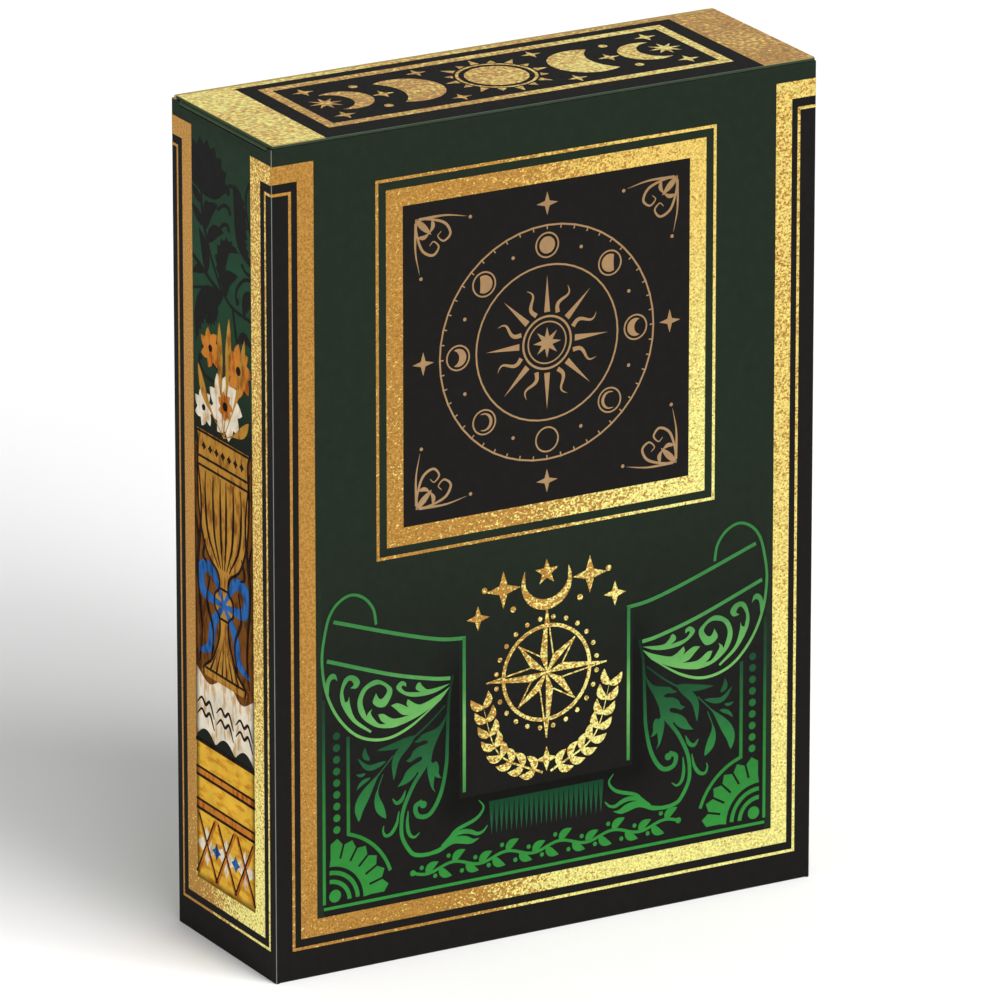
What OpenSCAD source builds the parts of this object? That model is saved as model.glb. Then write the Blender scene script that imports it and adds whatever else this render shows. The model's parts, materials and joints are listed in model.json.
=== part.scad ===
// Tuck carton with a deck of tarot cards and a folded leaflet inside.
// Millimetres, +Z up. The origin is the middle of the carton's underside.
// The back panel faces -Y and carries the lid on its top edge.
// Carton sizes follow from the cards, the leaflet and the room left around them.

/* [Cards] */
// Width of a card
card_w = 63; // [50:0.5:80]
// Height of a card
card_h = 88; // [75:0.5:130]
// Thickness of a card
card_t = 0.24; // [0.2:0.01:0.35]
// Corner radius of a card
card_corner_r = 3; // [1:0.25:6]
// Air between neighbouring cards
card_gap = 0.003; // [0.002:0.001:0.01]

/* [Leaflet] */
// How much narrower the leaflet is than a card, at each side
leaflet_side_inset = 1; // [0:0.25:6]
// How much shorter the leaflet is than a card
leaflet_drop = 4; // [0:0.5:20]
// Thickness of the leaflet's paper
leaflet_sheet_t = 0.12; // [0.08:0.01:0.2]
// Room between the leaflet's folded layers
leaflet_fold_gap = 0.04; // [0.02:0.01:0.1]
// Room between the leaflet and the deck
leaflet_deck_gap = 0.05; // [0.03:0.01:0.5]

/* [Carton] */
// Thickness of the carton board
board_t = 0.4; // [0.3:0.05:0.6]
// Room between the cards and each side panel
side_room = 1.1; // [0.9:0.1:3]
// Room between the leaflet and the back panel
back_room = 0.1; // [0.05:0.05:1]
// Room between the cards and the lid
head_room = 3.3; // [2.5:0.1:8]
// Room between the cards and the bottom flaps
floor_room = 0.1; // [0.05:0.05:1]
// Room beside a board edge that meets another panel
edge_gap = 0.05; // [0.02:0.01:0.2]
// Room around a crease that folds
crease_gap = 0.04; // [0.02:0.01:0.15]

/* [Lid] */
// How far the lid's ends stop short of the carton's sides
lid_inset = 0.25; // [0.1:0.05:1]
// Room between the lid and the dust flaps
lid_gap = 0.05; // [0.03:0.01:0.3]

/* [Tuck flap] */
// Length of the tuck flap below its crease
tuck_l = 10; // [8:0.5:16]
// Lean of the tuck flap towards the cards, in degrees
tuck_tilt = 4; // [2:0.5:6]
// Corner radius of the tuck flap
tuck_corner_r = 5; // [2:0.5:7]
// Room between the tuck crease and the front panel
tuck_gap = 0.25; // [0.15:0.05:0.6]
// Room between the tuck flap and the cards
tuck_deck_gap = 0.15; // [0.1:0.05:0.6]
// Room between the tuck flap and each side panel
tuck_side_room = 1; // [0.8:0.1:3]

/* [Dust flaps] */
// Length of a dust flap from its crease
dust_l = 11; // [6:0.5:16]
// Width of a dust flap's free end
dust_tip_w = 4; // [2:0.5:8]
// Taper of a dust flap's front edge
dust_front_taper = 4; // [1:0.5:6]
// Distance of a dust flap from the carton's back
dust_back_inset = 1.1; // [0.8:0.1:3]
// Distance of a dust flap from the carton's front
dust_front_inset = 1.8; // [1.5:0.1:3]

/* [Bottom and seam] */
// Length of the inner bottom flap
inner_flap_l = 14; // [8:0.5:16]
// Length of a bottom dust flap
bottom_dust_l = 14; // [8:0.5:24]
// Taper of a bottom dust flap at each edge
bottom_dust_taper = 3; // [0.5:0.5:5]
// Width of the glue flap in the seam corner
glue_flap_w = 9; // [5:0.5:12]
// Taper of the glue flap at each end
glue_flap_taper = 3; // [1:0.5:6]
// Distance of the glue flap from the carton's top and bottom
glue_flap_end_room = 12; // [8:0.5:20]

/* [Hidden] */
$fn = 48;
overrun = 1;

// Radius of a fold about the middle of the board
bead_r = board_t / 2;

// Deck order from the back: trumps first, then each suit from its ace to its king
trumps = [
    "fool", "magician", "high_priestess", "empress", "emperor", "hierophant", "lovers", "chariot",
    "justice", "hermit", "wheel_of_fortune", "strength", "hanged_man", "death", "temperance",
    "devil", "tower", "star", "moon", "sun", "judgement", "world"
];
suits = ["cups", "coins", "swords", "batons"];
courts = ["page", "knight", "queen", "king"];
pip_count = 10;
suit_count = pip_count + len(courts);
card_count = len(trumps) + len(suits) * suit_count;

// Stack of the leaflet and the cards
card_pitch = card_t + card_gap;
deck_d = card_count * card_pitch - card_gap;
leaflet_layers = 4;
leaflet_pitch = leaflet_sheet_t + leaflet_fold_gap;
leaflet_d = leaflet_layers * leaflet_pitch - leaflet_fold_gap;
leaflet_w = card_w - 2 * leaflet_side_inset;
leaflet_h = card_h - leaflet_drop;

// Slot for the tuck flap between the front panel and the cards
tuck_room = tuck_gap + board_t + tuck_l * sin(tuck_tilt) + tuck_deck_gap;

// Outside of the closed carton
carton_w = card_w + 2 * side_room + 2 * board_t;
carton_d = 2 * board_t + back_room + leaflet_d + leaflet_deck_gap + deck_d + tuck_room;
floor_layers = 3;
card_z = floor_layers * board_t + floor_room;
carton_h = card_z + card_h + head_room + board_t;

// Inside faces of the walls
in_x = carton_w / 2 - board_t;
in_y = carton_d / 2 - board_t;
leaflet_y = -in_y + back_room;
deck_y = leaflet_y + leaflet_d + leaflet_deck_gap;

// Creases: the lid's along the back, one at each side, and the tuck flap's along the front,
// which lies on the inner face of the board because that flap folds inward
lid_crease_y = -in_y - bead_r;
lid_crease_z = carton_h - bead_r;
tuck_crease_y = in_y - tuck_gap - board_t;
tuck_crease_z = carton_h - board_t;
dust_crease_x = in_x + bead_r;
dust_crease_z = carton_h - board_t - lid_gap - bead_r;
wall_top = carton_h - board_t - crease_gap;
side_top = dust_crease_z - bead_r - crease_gap;

// Half widths of the lid and its flap, and the span of a dust flap's crease
lid_half = carton_w / 2 - lid_inset;
tuck_half = in_x - tuck_side_room;
dust_back = -carton_d / 2 + dust_back_inset;
dust_front = carton_d / 2 - dust_front_inset;

// Colours of the printed board, the plain board and the paper
print_green = [0.15, 0.20, 0.15];
print_black = [0.13, 0.13, 0.13];
foil_gold = [0.80, 0.62, 0.30];
board_white = [0.90, 0.88, 0.83];
leaflet_white = [0.95, 0.94, 0.90];
trump_cream = [0.93, 0.87, 0.72];
suit_creams = [[0.93, 0.85, 0.74], [0.94, 0.88, 0.70], [0.88, 0.88, 0.82], [0.88, 0.90, 0.75]];

// Names of the cards
court_names = [for (suit = suits) for (rank = courts) str(rank, "_of_", suit)];
pip_names = [for (suit = suits) str(suit, "_ace_to_ten")];

// Box between two opposite corners
module slab(low, high) {
    translate(low) cube(high - low);
}

// Round bar along X, centred on the crease it turns about
module bead_x(half, r, y, z) {
    translate([-half, y, z]) rotate([0, 90, 0]) cylinder(r = r, h = 2 * half);
}

// Round bar along Y, centred on the crease it turns about
module bead_y(x, from, to, z) {
    translate([x, from, z]) rotate([-90, 0, 0]) cylinder(r = bead_r, h = to - from);
}

// Upright rectangle with four round corners, standing on its lower edge
module rounded_outline(w, h, r) {
    translate([-w / 2, r]) square([w, h - 2 * r]);
    translate([-w / 2 + r, 0]) square([w - 2 * r, h]);
    for (x = [-w / 2 + r, w / 2 - r])
        for (y = [r, h - r])
            translate([x, y]) circle(r);
}

// Hanging rectangle with its two lower corners round
module flap_outline(half, length, r) {
    translate([-half, -length + r]) square([2 * half, length - r]);
    translate([-half + r, -length]) square([2 * (half - r), length]);
    for (x = [-half + r, half - r])
        translate([x, -length + r]) circle(r);
}

// Plan of the right side panel, with the two vertical folds rounded outside
module side_plan() {
    fold_x = carton_w / 2 - bead_r;
    fold_y = carton_d / 2 - bead_r;
    translate([in_x, -fold_y]) square([board_t, 2 * fold_y]);
    translate([in_x, -carton_d / 2]) square([board_t - bead_r, carton_d]);
    for (y = [-fold_y, fold_y])
        translate([fold_x, y]) circle(bead_r);
}

module back_panel() {
    color(print_green)
        slab([-in_x, -carton_d / 2, board_t], [in_x, -in_y, wall_top]);
}

module front_panel() {
    color(print_green)
        slab([-in_x, in_y, 0], [in_x, carton_d / 2, lid_crease_z]);
}

// Right side panel, notched at the top for its dust flap's crease
module side_panel() {
    color(print_black)
        difference() {
            linear_extrude(wall_top) side_plan();
            slab([in_x - overrun, dust_back - edge_gap, side_top],
                 [carton_w / 2 + overrun, dust_front + edge_gap, wall_top + overrun]);
        }
}

module right_side_panel() {
    side_panel();
}

module left_side_panel() {
    mirror([1, 0, 0]) side_panel();
}

// Tapered strip that joins the front panel to the inside of the right side panel
module glue_flap() {
    low = glue_flap_end_room;
    high = carton_h - glue_flap_end_room;
    color(board_white)
        translate([in_x - board_t, 0, 0])
            rotate([90, 0, 90])
                linear_extrude(board_t)
                    polygon([
                        [in_y, low], [in_y, high],
                        [in_y - glue_flap_w, high - glue_flap_taper],
                        [in_y - glue_flap_w, low + glue_flap_taper]
                    ]);
}

// Outer bottom panel, folded round under the back panel
module bottom_panel() {
    half = in_x - edge_gap;
    back = -carton_d / 2;
    front = in_y - edge_gap;
    color(print_black)
        translate([-half, 0, 0])
            rotate([90, 0, 90])
                linear_extrude(2 * half) {
                    translate([back + bead_r, 0]) square([front - back - bead_r, board_t]);
                    translate([back, bead_r]) square([front - back, board_t - bead_r]);
                    translate([back + bead_r, bead_r]) circle(bead_r);
                }
}

module bottom_inner_flap() {
    half = in_x - edge_gap;
    color(board_white)
        slab([-half, in_y - inner_flap_l, board_t], [half, in_y, 2 * board_t]);
}

module bottom_dust_flap() {
    root = in_y - edge_gap;
    tip = root - bottom_dust_taper;
    color(board_white)
        translate([0, 0, 2 * board_t])
            linear_extrude(board_t)
                polygon([
                    [in_x, -root], [in_x, root],
                    [in_x - bottom_dust_l, tip], [in_x - bottom_dust_l, -tip]
                ]);
}

module bottom_dust_flap_right() {
    bottom_dust_flap();
}

module bottom_dust_flap_left() {
    mirror([1, 0, 0]) bottom_dust_flap();
}

// Lid with a round crease at the back and two shoulders beside the tuck flap's crease
module lid_panel() {
    low = carton_h - board_t;
    shoulder = tuck_half + edge_gap;
    color(foil_gold)
        union() {
            bead_x(lid_half, bead_r, lid_crease_y, lid_crease_z);
            slab([-lid_half, lid_crease_y, low], [lid_half, tuck_crease_y - crease_gap, carton_h]);
            for (side = [0, 1])
                mirror([side, 0, 0])
                    slab([shoulder, lid_crease_y, low], [lid_half, tuck_crease_y + board_t, carton_h]);
        }
}

// Flap with its inner face on the crease and a quarter round outside, which closes the corner
module tuck_flap() {
    color(print_green)
        translate([0, tuck_crease_y, tuck_crease_z])
            rotate([-tuck_tilt, 0, 0]) {
                intersection() {
                    bead_x(tuck_half, board_t, 0, 0);
                    slab([-tuck_half - overrun, 0, 0],
                         [tuck_half + overrun, board_t + overrun, board_t + overrun]);
                }
                translate([0, board_t, 0])
                    rotate([90, 0, 0])
                        linear_extrude(board_t) flap_outline(tuck_half, tuck_l, tuck_corner_r);
            }
}

// Right dust flap, lying under the lid
module dust_flap() {
    tip_x = dust_crease_x - dust_l;
    tip_front = dust_front - dust_front_taper;
    color(board_white) {
        bead_y(dust_crease_x, dust_back, dust_front, dust_crease_z);
        translate([0, 0, dust_crease_z - bead_r])
            linear_extrude(board_t)
                polygon([
                    [dust_crease_x, dust_back], [dust_crease_x, dust_front],
                    [tip_x, tip_front], [tip_x, tip_front - dust_tip_w]
                ]);
    }
}

module dust_flap_right() {
    dust_flap();
}

module dust_flap_left() {
    mirror([1, 0, 0]) dust_flap();
}

// Sheet folded to and fro in upright layers, joined at alternate sides
module leaflet() {
    color(leaflet_white)
        translate([-leaflet_w / 2, leaflet_y, card_z])
            linear_extrude(leaflet_h) {
                for (layer = [0 : leaflet_layers - 1])
                    translate([0, layer * leaflet_pitch]) square([leaflet_w, leaflet_sheet_t]);
                for (layer = [0 : leaflet_layers - 2])
                    translate([layer % 2 == 0 ? leaflet_w - leaflet_sheet_t : 0, layer * leaflet_pitch])
                        square([leaflet_sheet_t, leaflet_pitch + leaflet_sheet_t]);
            }
}

// Card in a place of the deck, counted from the back
module card(place) {
    translate([0, deck_y + place * card_pitch + card_t, card_z])
        rotate([90, 0, 0])
            linear_extrude(card_t) rounded_outline(card_w, card_h, card_corner_r);
}

// First place of a suit in the deck
function suit_place(suit) = len(trumps) + suit * suit_count;

module trump(number) {
    color(trump_cream) card(number);
}

module pips(suit) {
    color(suit_creams[suit])
        for (pip = [0 : pip_count - 1])
            card(suit_place(suit) + pip);
}

module court(index) {
    suit = floor(index / len(courts));
    rank = index % len(courts);
    color(suit_creams[suit]) card(suit_place(suit) + pip_count + rank);
}

back_panel();
front_panel();
left_side_panel();
right_side_panel();
glue_flap();
bottom_panel();
bottom_inner_flap();
bottom_dust_flap_left();
bottom_dust_flap_right();
lid_panel();
tuck_flap();
dust_flap_left();
dust_flap_right();
leaflet();
for (number = [0 : len(trumps) - 1])
    trump(number);
for (index = [0 : len(court_names) - 1])
    court(index);
for (suit = [0 : len(suits) - 1])
    pips(suit);
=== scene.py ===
import json
import math

import bmesh
import bpy
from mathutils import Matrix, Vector
from mathutils.geometry import delaunay_2d_cdt, tessellate_polygon


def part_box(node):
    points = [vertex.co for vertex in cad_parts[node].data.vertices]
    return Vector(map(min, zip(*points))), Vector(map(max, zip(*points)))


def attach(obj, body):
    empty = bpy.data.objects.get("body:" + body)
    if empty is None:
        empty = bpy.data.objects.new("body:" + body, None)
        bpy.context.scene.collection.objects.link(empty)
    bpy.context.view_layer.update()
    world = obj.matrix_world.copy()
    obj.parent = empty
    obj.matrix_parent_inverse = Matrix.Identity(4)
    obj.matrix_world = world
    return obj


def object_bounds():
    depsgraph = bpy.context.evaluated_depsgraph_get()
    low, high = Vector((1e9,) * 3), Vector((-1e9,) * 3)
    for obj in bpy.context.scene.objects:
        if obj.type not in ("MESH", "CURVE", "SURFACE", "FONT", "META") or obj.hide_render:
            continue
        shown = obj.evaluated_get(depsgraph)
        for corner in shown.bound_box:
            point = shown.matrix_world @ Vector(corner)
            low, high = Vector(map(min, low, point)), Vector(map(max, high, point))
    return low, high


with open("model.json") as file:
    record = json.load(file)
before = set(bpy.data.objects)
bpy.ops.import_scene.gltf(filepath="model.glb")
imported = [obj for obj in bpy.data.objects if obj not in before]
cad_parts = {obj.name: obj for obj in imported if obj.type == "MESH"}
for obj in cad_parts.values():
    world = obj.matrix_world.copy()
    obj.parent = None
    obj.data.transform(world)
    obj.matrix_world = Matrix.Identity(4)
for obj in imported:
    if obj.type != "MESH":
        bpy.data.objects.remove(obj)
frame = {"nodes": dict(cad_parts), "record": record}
cad_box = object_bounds()

# Sizes of the carton in millimetres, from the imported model
MM = 0.001
WIDTH, DEPTH, HEIGHT = ((high - low) / MM for low, high in zip(*cad_box))
BOARD = (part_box("back_panel")[1].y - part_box("back_panel")[0].y) / MM
FOLD_R = BOARD / 2
LID_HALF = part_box("lid_panel")[1].x / MM
LID_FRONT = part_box("tuck_flap")[1].y / MM - BOARD
X, Y, Z = Vector((1, 0, 0)), Vector((0, 1, 0)), Vector((0, 0, 1))


def add(name, data):
    """New object in the scene."""
    made = bpy.data.objects.new(name, data)
    bpy.context.scene.collection.objects.link(made)
    return made


# Gold frames in millimetres: places of the middle of each rule, from the edges of its face

RULE = {"inset": 2.15, "width": 0.33, "low": 3.5, "drop": 5.38}
BAND = {"inset": 4.0, "width": 1.95, "low": 5.54, "drop": 3.25}
SIDE_RULE = {**RULE, "inset": 1.35, "width": 0.3}
SIDE_BAND = {**BAND, "inset": 3.45, "width": 2.1}
PICTURE_HALF = DEPTH / 2 - SIDE_BAND["inset"] - SIDE_BAND["width"] / 2
PICTURE_LOW = SIDE_BAND["low"] + SIDE_BAND["width"] / 2


# Node materials, with noise in grains to the metre and other lengths in millimetres

def srgb(code):
    """Linear colour of a code such as #2B352A."""
    levels = [int(code[i:i + 2], 16) / 255 for i in (1, 3, 5)]
    return (*(v / 12.92 if v <= 0.04045 else ((v + 0.055) / 1.055) ** 2.4 for v in levels), 1.0)


GREEN = srgb("#2B352A")
# Print green made lighter as painted light, against the shade on the lid's ends and the dust flaps' folds
LIGHTENED_EDGE_GREEN = srgb("#43523F")
BLACK = srgb("#252423")
TAB_SHADE = srgb("#141512")
PALE_BOARD = srgb("#DCD8CC")
# Light grey of the folds: partly crease wear, partly painted highlight
FOLD_WEAR_AND_HIGHLIGHT = srgb("#9DA39B")
FOIL_EDGE = srgb("#D9BE6E")
VARNISH_IOR = 1.15


class Nodes:
    """Short ways to add nodes to a tree."""

    def __init__(self, tree):
        self.tree = tree

    def feed(self, socket, value):
        if isinstance(value, bpy.types.NodeSocket):
            self.tree.links.new(value, socket)
        else:
            socket.default_value = value

    def node(self, kind, inputs, **settings):
        """A node with its settings made and its inputs, by name or number, filled."""
        made = self.tree.nodes.new(kind)
        for key, value in settings.items():
            setattr(made, key, value)
        for key, value in inputs.items():
            self.feed(made.inputs[key], value)
        return made

    def math(self, operation, first, second=0.0):
        return self.node("ShaderNodeMath", {0: first, 1: second}, operation=operation).outputs[0]

    def times(self, first, *others):
        """Product of several values."""
        for other in others:
            first = self.math("MULTIPLY", first, other)
        return first


class Finish(Nodes):
    """A node material that is laid out in the part's own frame."""

    def __init__(self, name, roughness=0.5, specular=0.05, metallic=0.0):
        self.material = bpy.data.materials.new(name)
        self.material.use_nodes = True
        super().__init__(self.material.node_tree)
        self.shader = self.tree.nodes["Principled BSDF"]
        self.shader.inputs["Roughness"].default_value = roughness
        self.shader.inputs["Specular IOR Level"].default_value = specular
        self.shader.inputs["Metallic"].default_value = metallic
        self.shader.inputs["IOR"].default_value = VARNISH_IOR
        coordinates = self.tree.nodes.new("ShaderNodeTexCoord")
        self.place = coordinates.outputs["Object"]
        self.normal = coordinates.outputs["Normal"]

    def dot(self, vector, way):
        made = self.node("ShaderNodeVectorMath", {0: vector, 1: way}, operation="DOT_PRODUCT")
        return made.outputs["Value"]

    def along(self, way):
        """How far a place lies along a way."""
        return self.dot(self.place, way / MM)

    def faces(self, way):
        """1 where the surface faces a way squarely and -1 where it faces away."""
        return self.dot(self.normal, way)

    def inset(self, way, half, middle=0.0):
        """How far a place lies in from the nearer end of a span along a way."""
        off = self.math("ABSOLUTE", self.math("SUBTRACT", self.along(way), middle))
        return self.math("SUBTRACT", half, off)

    def share(self, value, start, end):
        """Smooth step from 0 at start to 1 at end."""
        inputs = {"Value": value, "From Min": start, "From Max": end}
        return self.node("ShaderNodeMapRange", inputs, interpolation_type="SMOOTHSTEP").outputs["Result"]

    def noise(self, scale, detail=2.0, stretch=(1, 1, 1)):
        place = self.node("ShaderNodeVectorMath", {0: self.place, 1: stretch}, operation="MULTIPLY")
        inputs = {"Vector": place.outputs[0], "Scale": scale, "Detail": detail}
        return self.node("ShaderNodeTexNoise", inputs).outputs["Fac"]

    def ramp(self, value, stops):
        """Colour for a value, from pairs of position and colour."""
        made = self.node("ShaderNodeValToRGB", {"Fac": value})
        points = made.color_ramp.elements
        while len(points) < len(stops):
            points.new(0.5)
        for point, (position, colour) in zip(points, stops):
            point.position = position
            point.color = colour
        return made.outputs["Color"]

    def mix(self, share, first, second, blend="MIX"):
        made = self.node("ShaderNodeMix", {"Factor": share}, data_type="RGBA", blend_type=blend)
        self.feed(made.inputs[6], first)
        self.feed(made.inputs[7], second)
        return made.outputs[2]

    def vary(self, colour, noise, low, high):
        """The colour made darker and lighter by noise."""
        level = self.ramp(noise, [(0.3, (low, low, low, 1)), (0.7, (high, high, high, 1))])
        return self.mix(1.0, colour, level, "MULTIPLY")

    def paint(self, colour):
        self.feed(self.shader.inputs["Base Color"], colour)

    def polish(self, noise, low, high):
        """Roughness that follows noise."""
        inputs = {"Value": noise, "From Min": 0.3, "From Max": 0.7, "To Min": low, "To Max": high}
        self.feed(self.shader.inputs["Roughness"], self.node("ShaderNodeMapRange", inputs).outputs["Result"])

    def relief(self, height, depth):
        bump = self.node("ShaderNodeBump", {"Height": height, "Distance": depth * MM, "Strength": 0.6})
        self.feed(self.shader.inputs["Normal"], bump.outputs["Normal"])


FIBRE = 3500
PRINT_GRAIN = 900


def coated(finish, colour):
    """Satin varnish on board: faint mottling, a fine fibre and an uneven gloss."""
    fibre = finish.noise(FIBRE, detail=3)
    finish.paint(finish.vary(colour, finish.noise(PRINT_GRAIN), low=0.93, high=1.06))
    finish.polish(fibre, low=0.42, high=0.58)
    finish.relief(fibre, depth=0.006)
    return finish.material


def ink(name, way, start, end, *stops):
    """Printed colour that changes between two places along a way."""
    finish = Finish(name)
    inputs = {"Value": finish.along(way), "From Min": start, "From Max": end}
    reach = finish.node("ShaderNodeMapRange", inputs).outputs["Result"]
    return coated(finish, finish.ramp(reach, [(place, srgb(code)) for place, code in stops]))


BRUSH_GRAIN, BRUSH_CLOUD = 1500, 420
STREAKS = (0.46, 0.66)
RIM_SHADE, RIM_STRENGTH = 1.0, 0.8
RIM_DARK = srgb("#1C140C")


def brushed(name, code, shade, streak=(1, 1, 0.35)):
    """Painted picture colour with streaks of a darker shade, and a shadow along the picture's rim."""
    finish = Finish(name)
    stroke = finish.noise(BRUSH_GRAIN, detail=4, stretch=streak)
    colour = finish.mix(finish.share(stroke, *STREAKS), srgb(code), srgb(shade))
    colour = finish.vary(colour, finish.noise(BRUSH_CLOUD), low=0.86, high=1.1)
    side = finish.share(finish.inset(Y, PICTURE_HALF), RIM_SHADE, 0)
    foot = finish.share(finish.along(Z), PICTURE_LOW + RIM_SHADE, PICTURE_LOW)
    rim = finish.times(finish.math("MAXIMUM", side, foot), RIM_STRENGTH)
    finish.paint(finish.mix(rim, colour, RIM_DARK))
    finish.polish(stroke, low=0.45, high=0.6)
    finish.relief(stroke, depth=0.008)
    return finish.material


FOIL_GRAIN, FOIL_PATCH = 3400, 200
FOIL_STOPS = ((0.0, srgb("#BD8B43")), (0.6, srgb("#F0CD6E")), (1.0, srgb("#F9F093")))
GLINT = 15.0


def foil(name, way, start, end, dull=-2.0, full=2.3, glint=GLINT, coarse=1.0, head=None):
    """Grained gold foil, tan at start and bright at end along a way.

    The grain flashes where dull and full meet. head holds the heights between which the foil loses some of
    its reach, how much, and the brightest that it is above them.
    """
    finish = Finish(name, metallic=0.5)
    grain = finish.noise(FOIL_GRAIN / coarse, stretch=(1, 1, 1.4))
    sparkle = finish.noise(FOIL_GRAIN * 1.3 / coarse)
    patch = finish.noise(FOIL_PATCH, detail=3)
    reach = finish.share(finish.along(way), start, end)
    level = finish.math("ADD", dull, finish.times(reach, full - dull))
    flash = finish.times(finish.math("SUBTRACT", grain, 0.5), glint)
    level = finish.math("ADD", level, finish.math("ADD", flash, finish.math("SUBTRACT", patch, 0.5)))
    if head:
        low, high, loss, brightest = head
        rise = finish.share(finish.along(Z), low, high)
        level = finish.math("SUBTRACT", level, finish.times(rise, loss))
        limit = finish.math("SUBTRACT", 1.0, finish.times(rise, 1.0 - brightest))
        level = finish.math("MINIMUM", level, limit)
    finish.paint(finish.vary(finish.ramp(level, FOIL_STOPS), sparkle, low=0.66, high=1.33))
    finish.polish(grain, low=0.34, high=0.5)
    finish.relief(grain, depth=0.03)
    return finish.material


# Plane curves, in millimetres

def spline(points, steps=8):
    """Points along a smooth curve through the given ones."""
    line = [Vector(p) for p in points]
    padded = [2 * line[0] - line[1], *line, 2 * line[-1] - line[-2]]
    made = []
    for a, b, c, d in zip(padded, padded[1:], padded[2:], padded[3:]):
        for step in range(steps):
            t = step / steps
            made.append(0.5 * (2 * b + (c - a) * t + (2 * a - 5 * b + 4 * c - d) * t ** 2
                               + (3 * b - a - 3 * c + d) * t ** 3))
    return [*made, line[-1]]


def cusped(start, *stretches):
    """Outline of smooth stretches that meet in points, each on from where the last one ends."""
    outline = []
    for stretch in stretches:
        outline += spline([start, *stretch])[:-1]
        start = stretch[-1]
    return outline


def flipped(line, side):
    """The line as it is for side 1, mirrored for side -1, and drawn in by a share between them."""
    return [(side * u, v) for u, v in line]


def polar(centre, radius, degrees):
    a = math.radians(degrees)
    return Vector((centre[0] + radius * math.cos(a), centre[1] + radius * math.sin(a)))


def arc(centre, radius, start, end, steps=32):
    return [polar(centre, radius, start + (end - start) * i / steps) for i in range(steps + 1)]


def circle(centre, radius, steps=40):
    return arc(centre, radius, 0, 360, steps)[:-1]


def box_outline(left, low, right, high):
    return [Vector((left, low)), Vector((right, low)), Vector((right, high)), Vector((left, high))]


def star(centre, outer, inner, points=4, turn=90):
    """Outline of a star with its first point at the turn angle."""
    return [polar(centre, inner if i % 2 else outer, turn + 180 * i / points) for i in range(2 * points)]


def ray(centre, foot, tip, turn, half=6):
    """Triangle that points outward. half is half of its foot's angle in degrees."""
    return [polar(centre, foot, turn - half), polar(centre, tip, turn), polar(centre, foot, turn + half)]


def crescent(centre, radius, bite, turn=0, steps=24):
    """Moon whose hollow side lies at the turn angle; bite is how far the hollow reaches in."""
    rim = arc(centre, radius, turn + 60, turn + 300, steps)
    chord = (rim[0] - rim[-1]).length / 2
    sag = radius * (1 + math.cos(math.radians(120))) + bite
    hollow_r = (chord ** 2 + sag ** 2) / (2 * sag)
    middle = polar(centre, radius * math.cos(math.radians(60)) - sag + hollow_r, turn)
    spread = math.degrees(math.asin(min(1.0, chord / hollow_r)))
    return rim + arc(middle, hollow_r, turn + 180 + spread, turn + 180 - spread, steps)[1:-1]


# Width profiles for strokes: the share of the way along gives the share of the width

def pointed(t):
    """Leaf: pointed at both ends, widest past the middle."""
    return math.sin(math.pi * t ** 0.8) ** 0.9 + 0.02


def tapering(t):
    """Full at the start and pointed at the end."""
    return (1 - t) ** 0.7 + 0.02


def swelling(t):
    """Thin ends and a full middle."""
    return 0.25 + 0.75 * math.sin(math.pi * t)


def drop(t):
    """Fine stalk that ends in a full leaf."""
    return 0.1 + 0.9 * max(0.0, math.sin(math.pi * max(0.0, (t - 0.3) / 0.7) ** 1.3)) if t < 1 else 0.02


def growing(t):
    """Thin at the start and full at the end."""
    return 0.7 + 0.6 * t


def fading(t):
    """Full, and thinner over the last stretch."""
    return 1 if t < 0.85 else 1.05 - (t - 0.85) * 5


# Printed faces

class Face:
    """An outer face of the carton. u runs to the right and v up, as seen from outside."""

    def __init__(self, name, body, origin, right, up, half, rules=(), folds=False):
        self.name, self.body = name, body
        self.origin, self.right, self.up = Vector(origin), right, up
        self.out = right.cross(up)
        self.half, self.flat = half, half - FOLD_R
        self.rules, self.folds = rules, folds

    def at(self, u, v, lift):
        """Place of a point in metres. Past the flat part it goes round the upright fold."""
        turn = min(max(abs(u) - self.flat, 0) / FOLD_R, math.pi / 2) if self.folds else 0.0
        across, rise = u, lift
        if turn:
            across = math.copysign(self.flat + (FOLD_R + lift) * math.sin(turn), u)
            rise = (FOLD_R + lift) * math.cos(turn) - FOLD_R
        return (self.origin + self.right * across + self.up * v + self.out * rise) * MM

    def edge(self):
        """Places across the face from its flat part to the far side of the fold."""
        if not self.folds:
            return [self.flat]
        return [self.flat + FOLD_R * math.pi / 2 * i / 4 for i in range(5)]


BACK = Face("back", "carton", (0, -DEPTH / 2, 0), X, Z, WIDTH / 2, (RULE, BAND), folds=True)
FRONT = Face("front", "carton", (0, DEPTH / 2, 0), -X, Z, WIDTH / 2, (RULE, BAND), folds=True)
LEFT = Face("left", "carton", (-WIDTH / 2, 0, 0), -Y, Z, DEPTH / 2, (SIDE_RULE, SIDE_BAND))
RIGHT = Face("right", "carton", (WIDTH / 2, 0, 0), Y, Z, DEPTH / 2, (SIDE_RULE, SIDE_BAND))
TOP = Face("top", "lid", (0, -DEPTH / 2, HEIGHT), X, Y, WIDTH / 2)
BOTTOM = Face("bottom", "carton", (0, 0, 0), X, -Y, WIDTH / 2)

INK_T = 0.012
INK_SINK = 0.01
CLOSE = 1e-4


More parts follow.
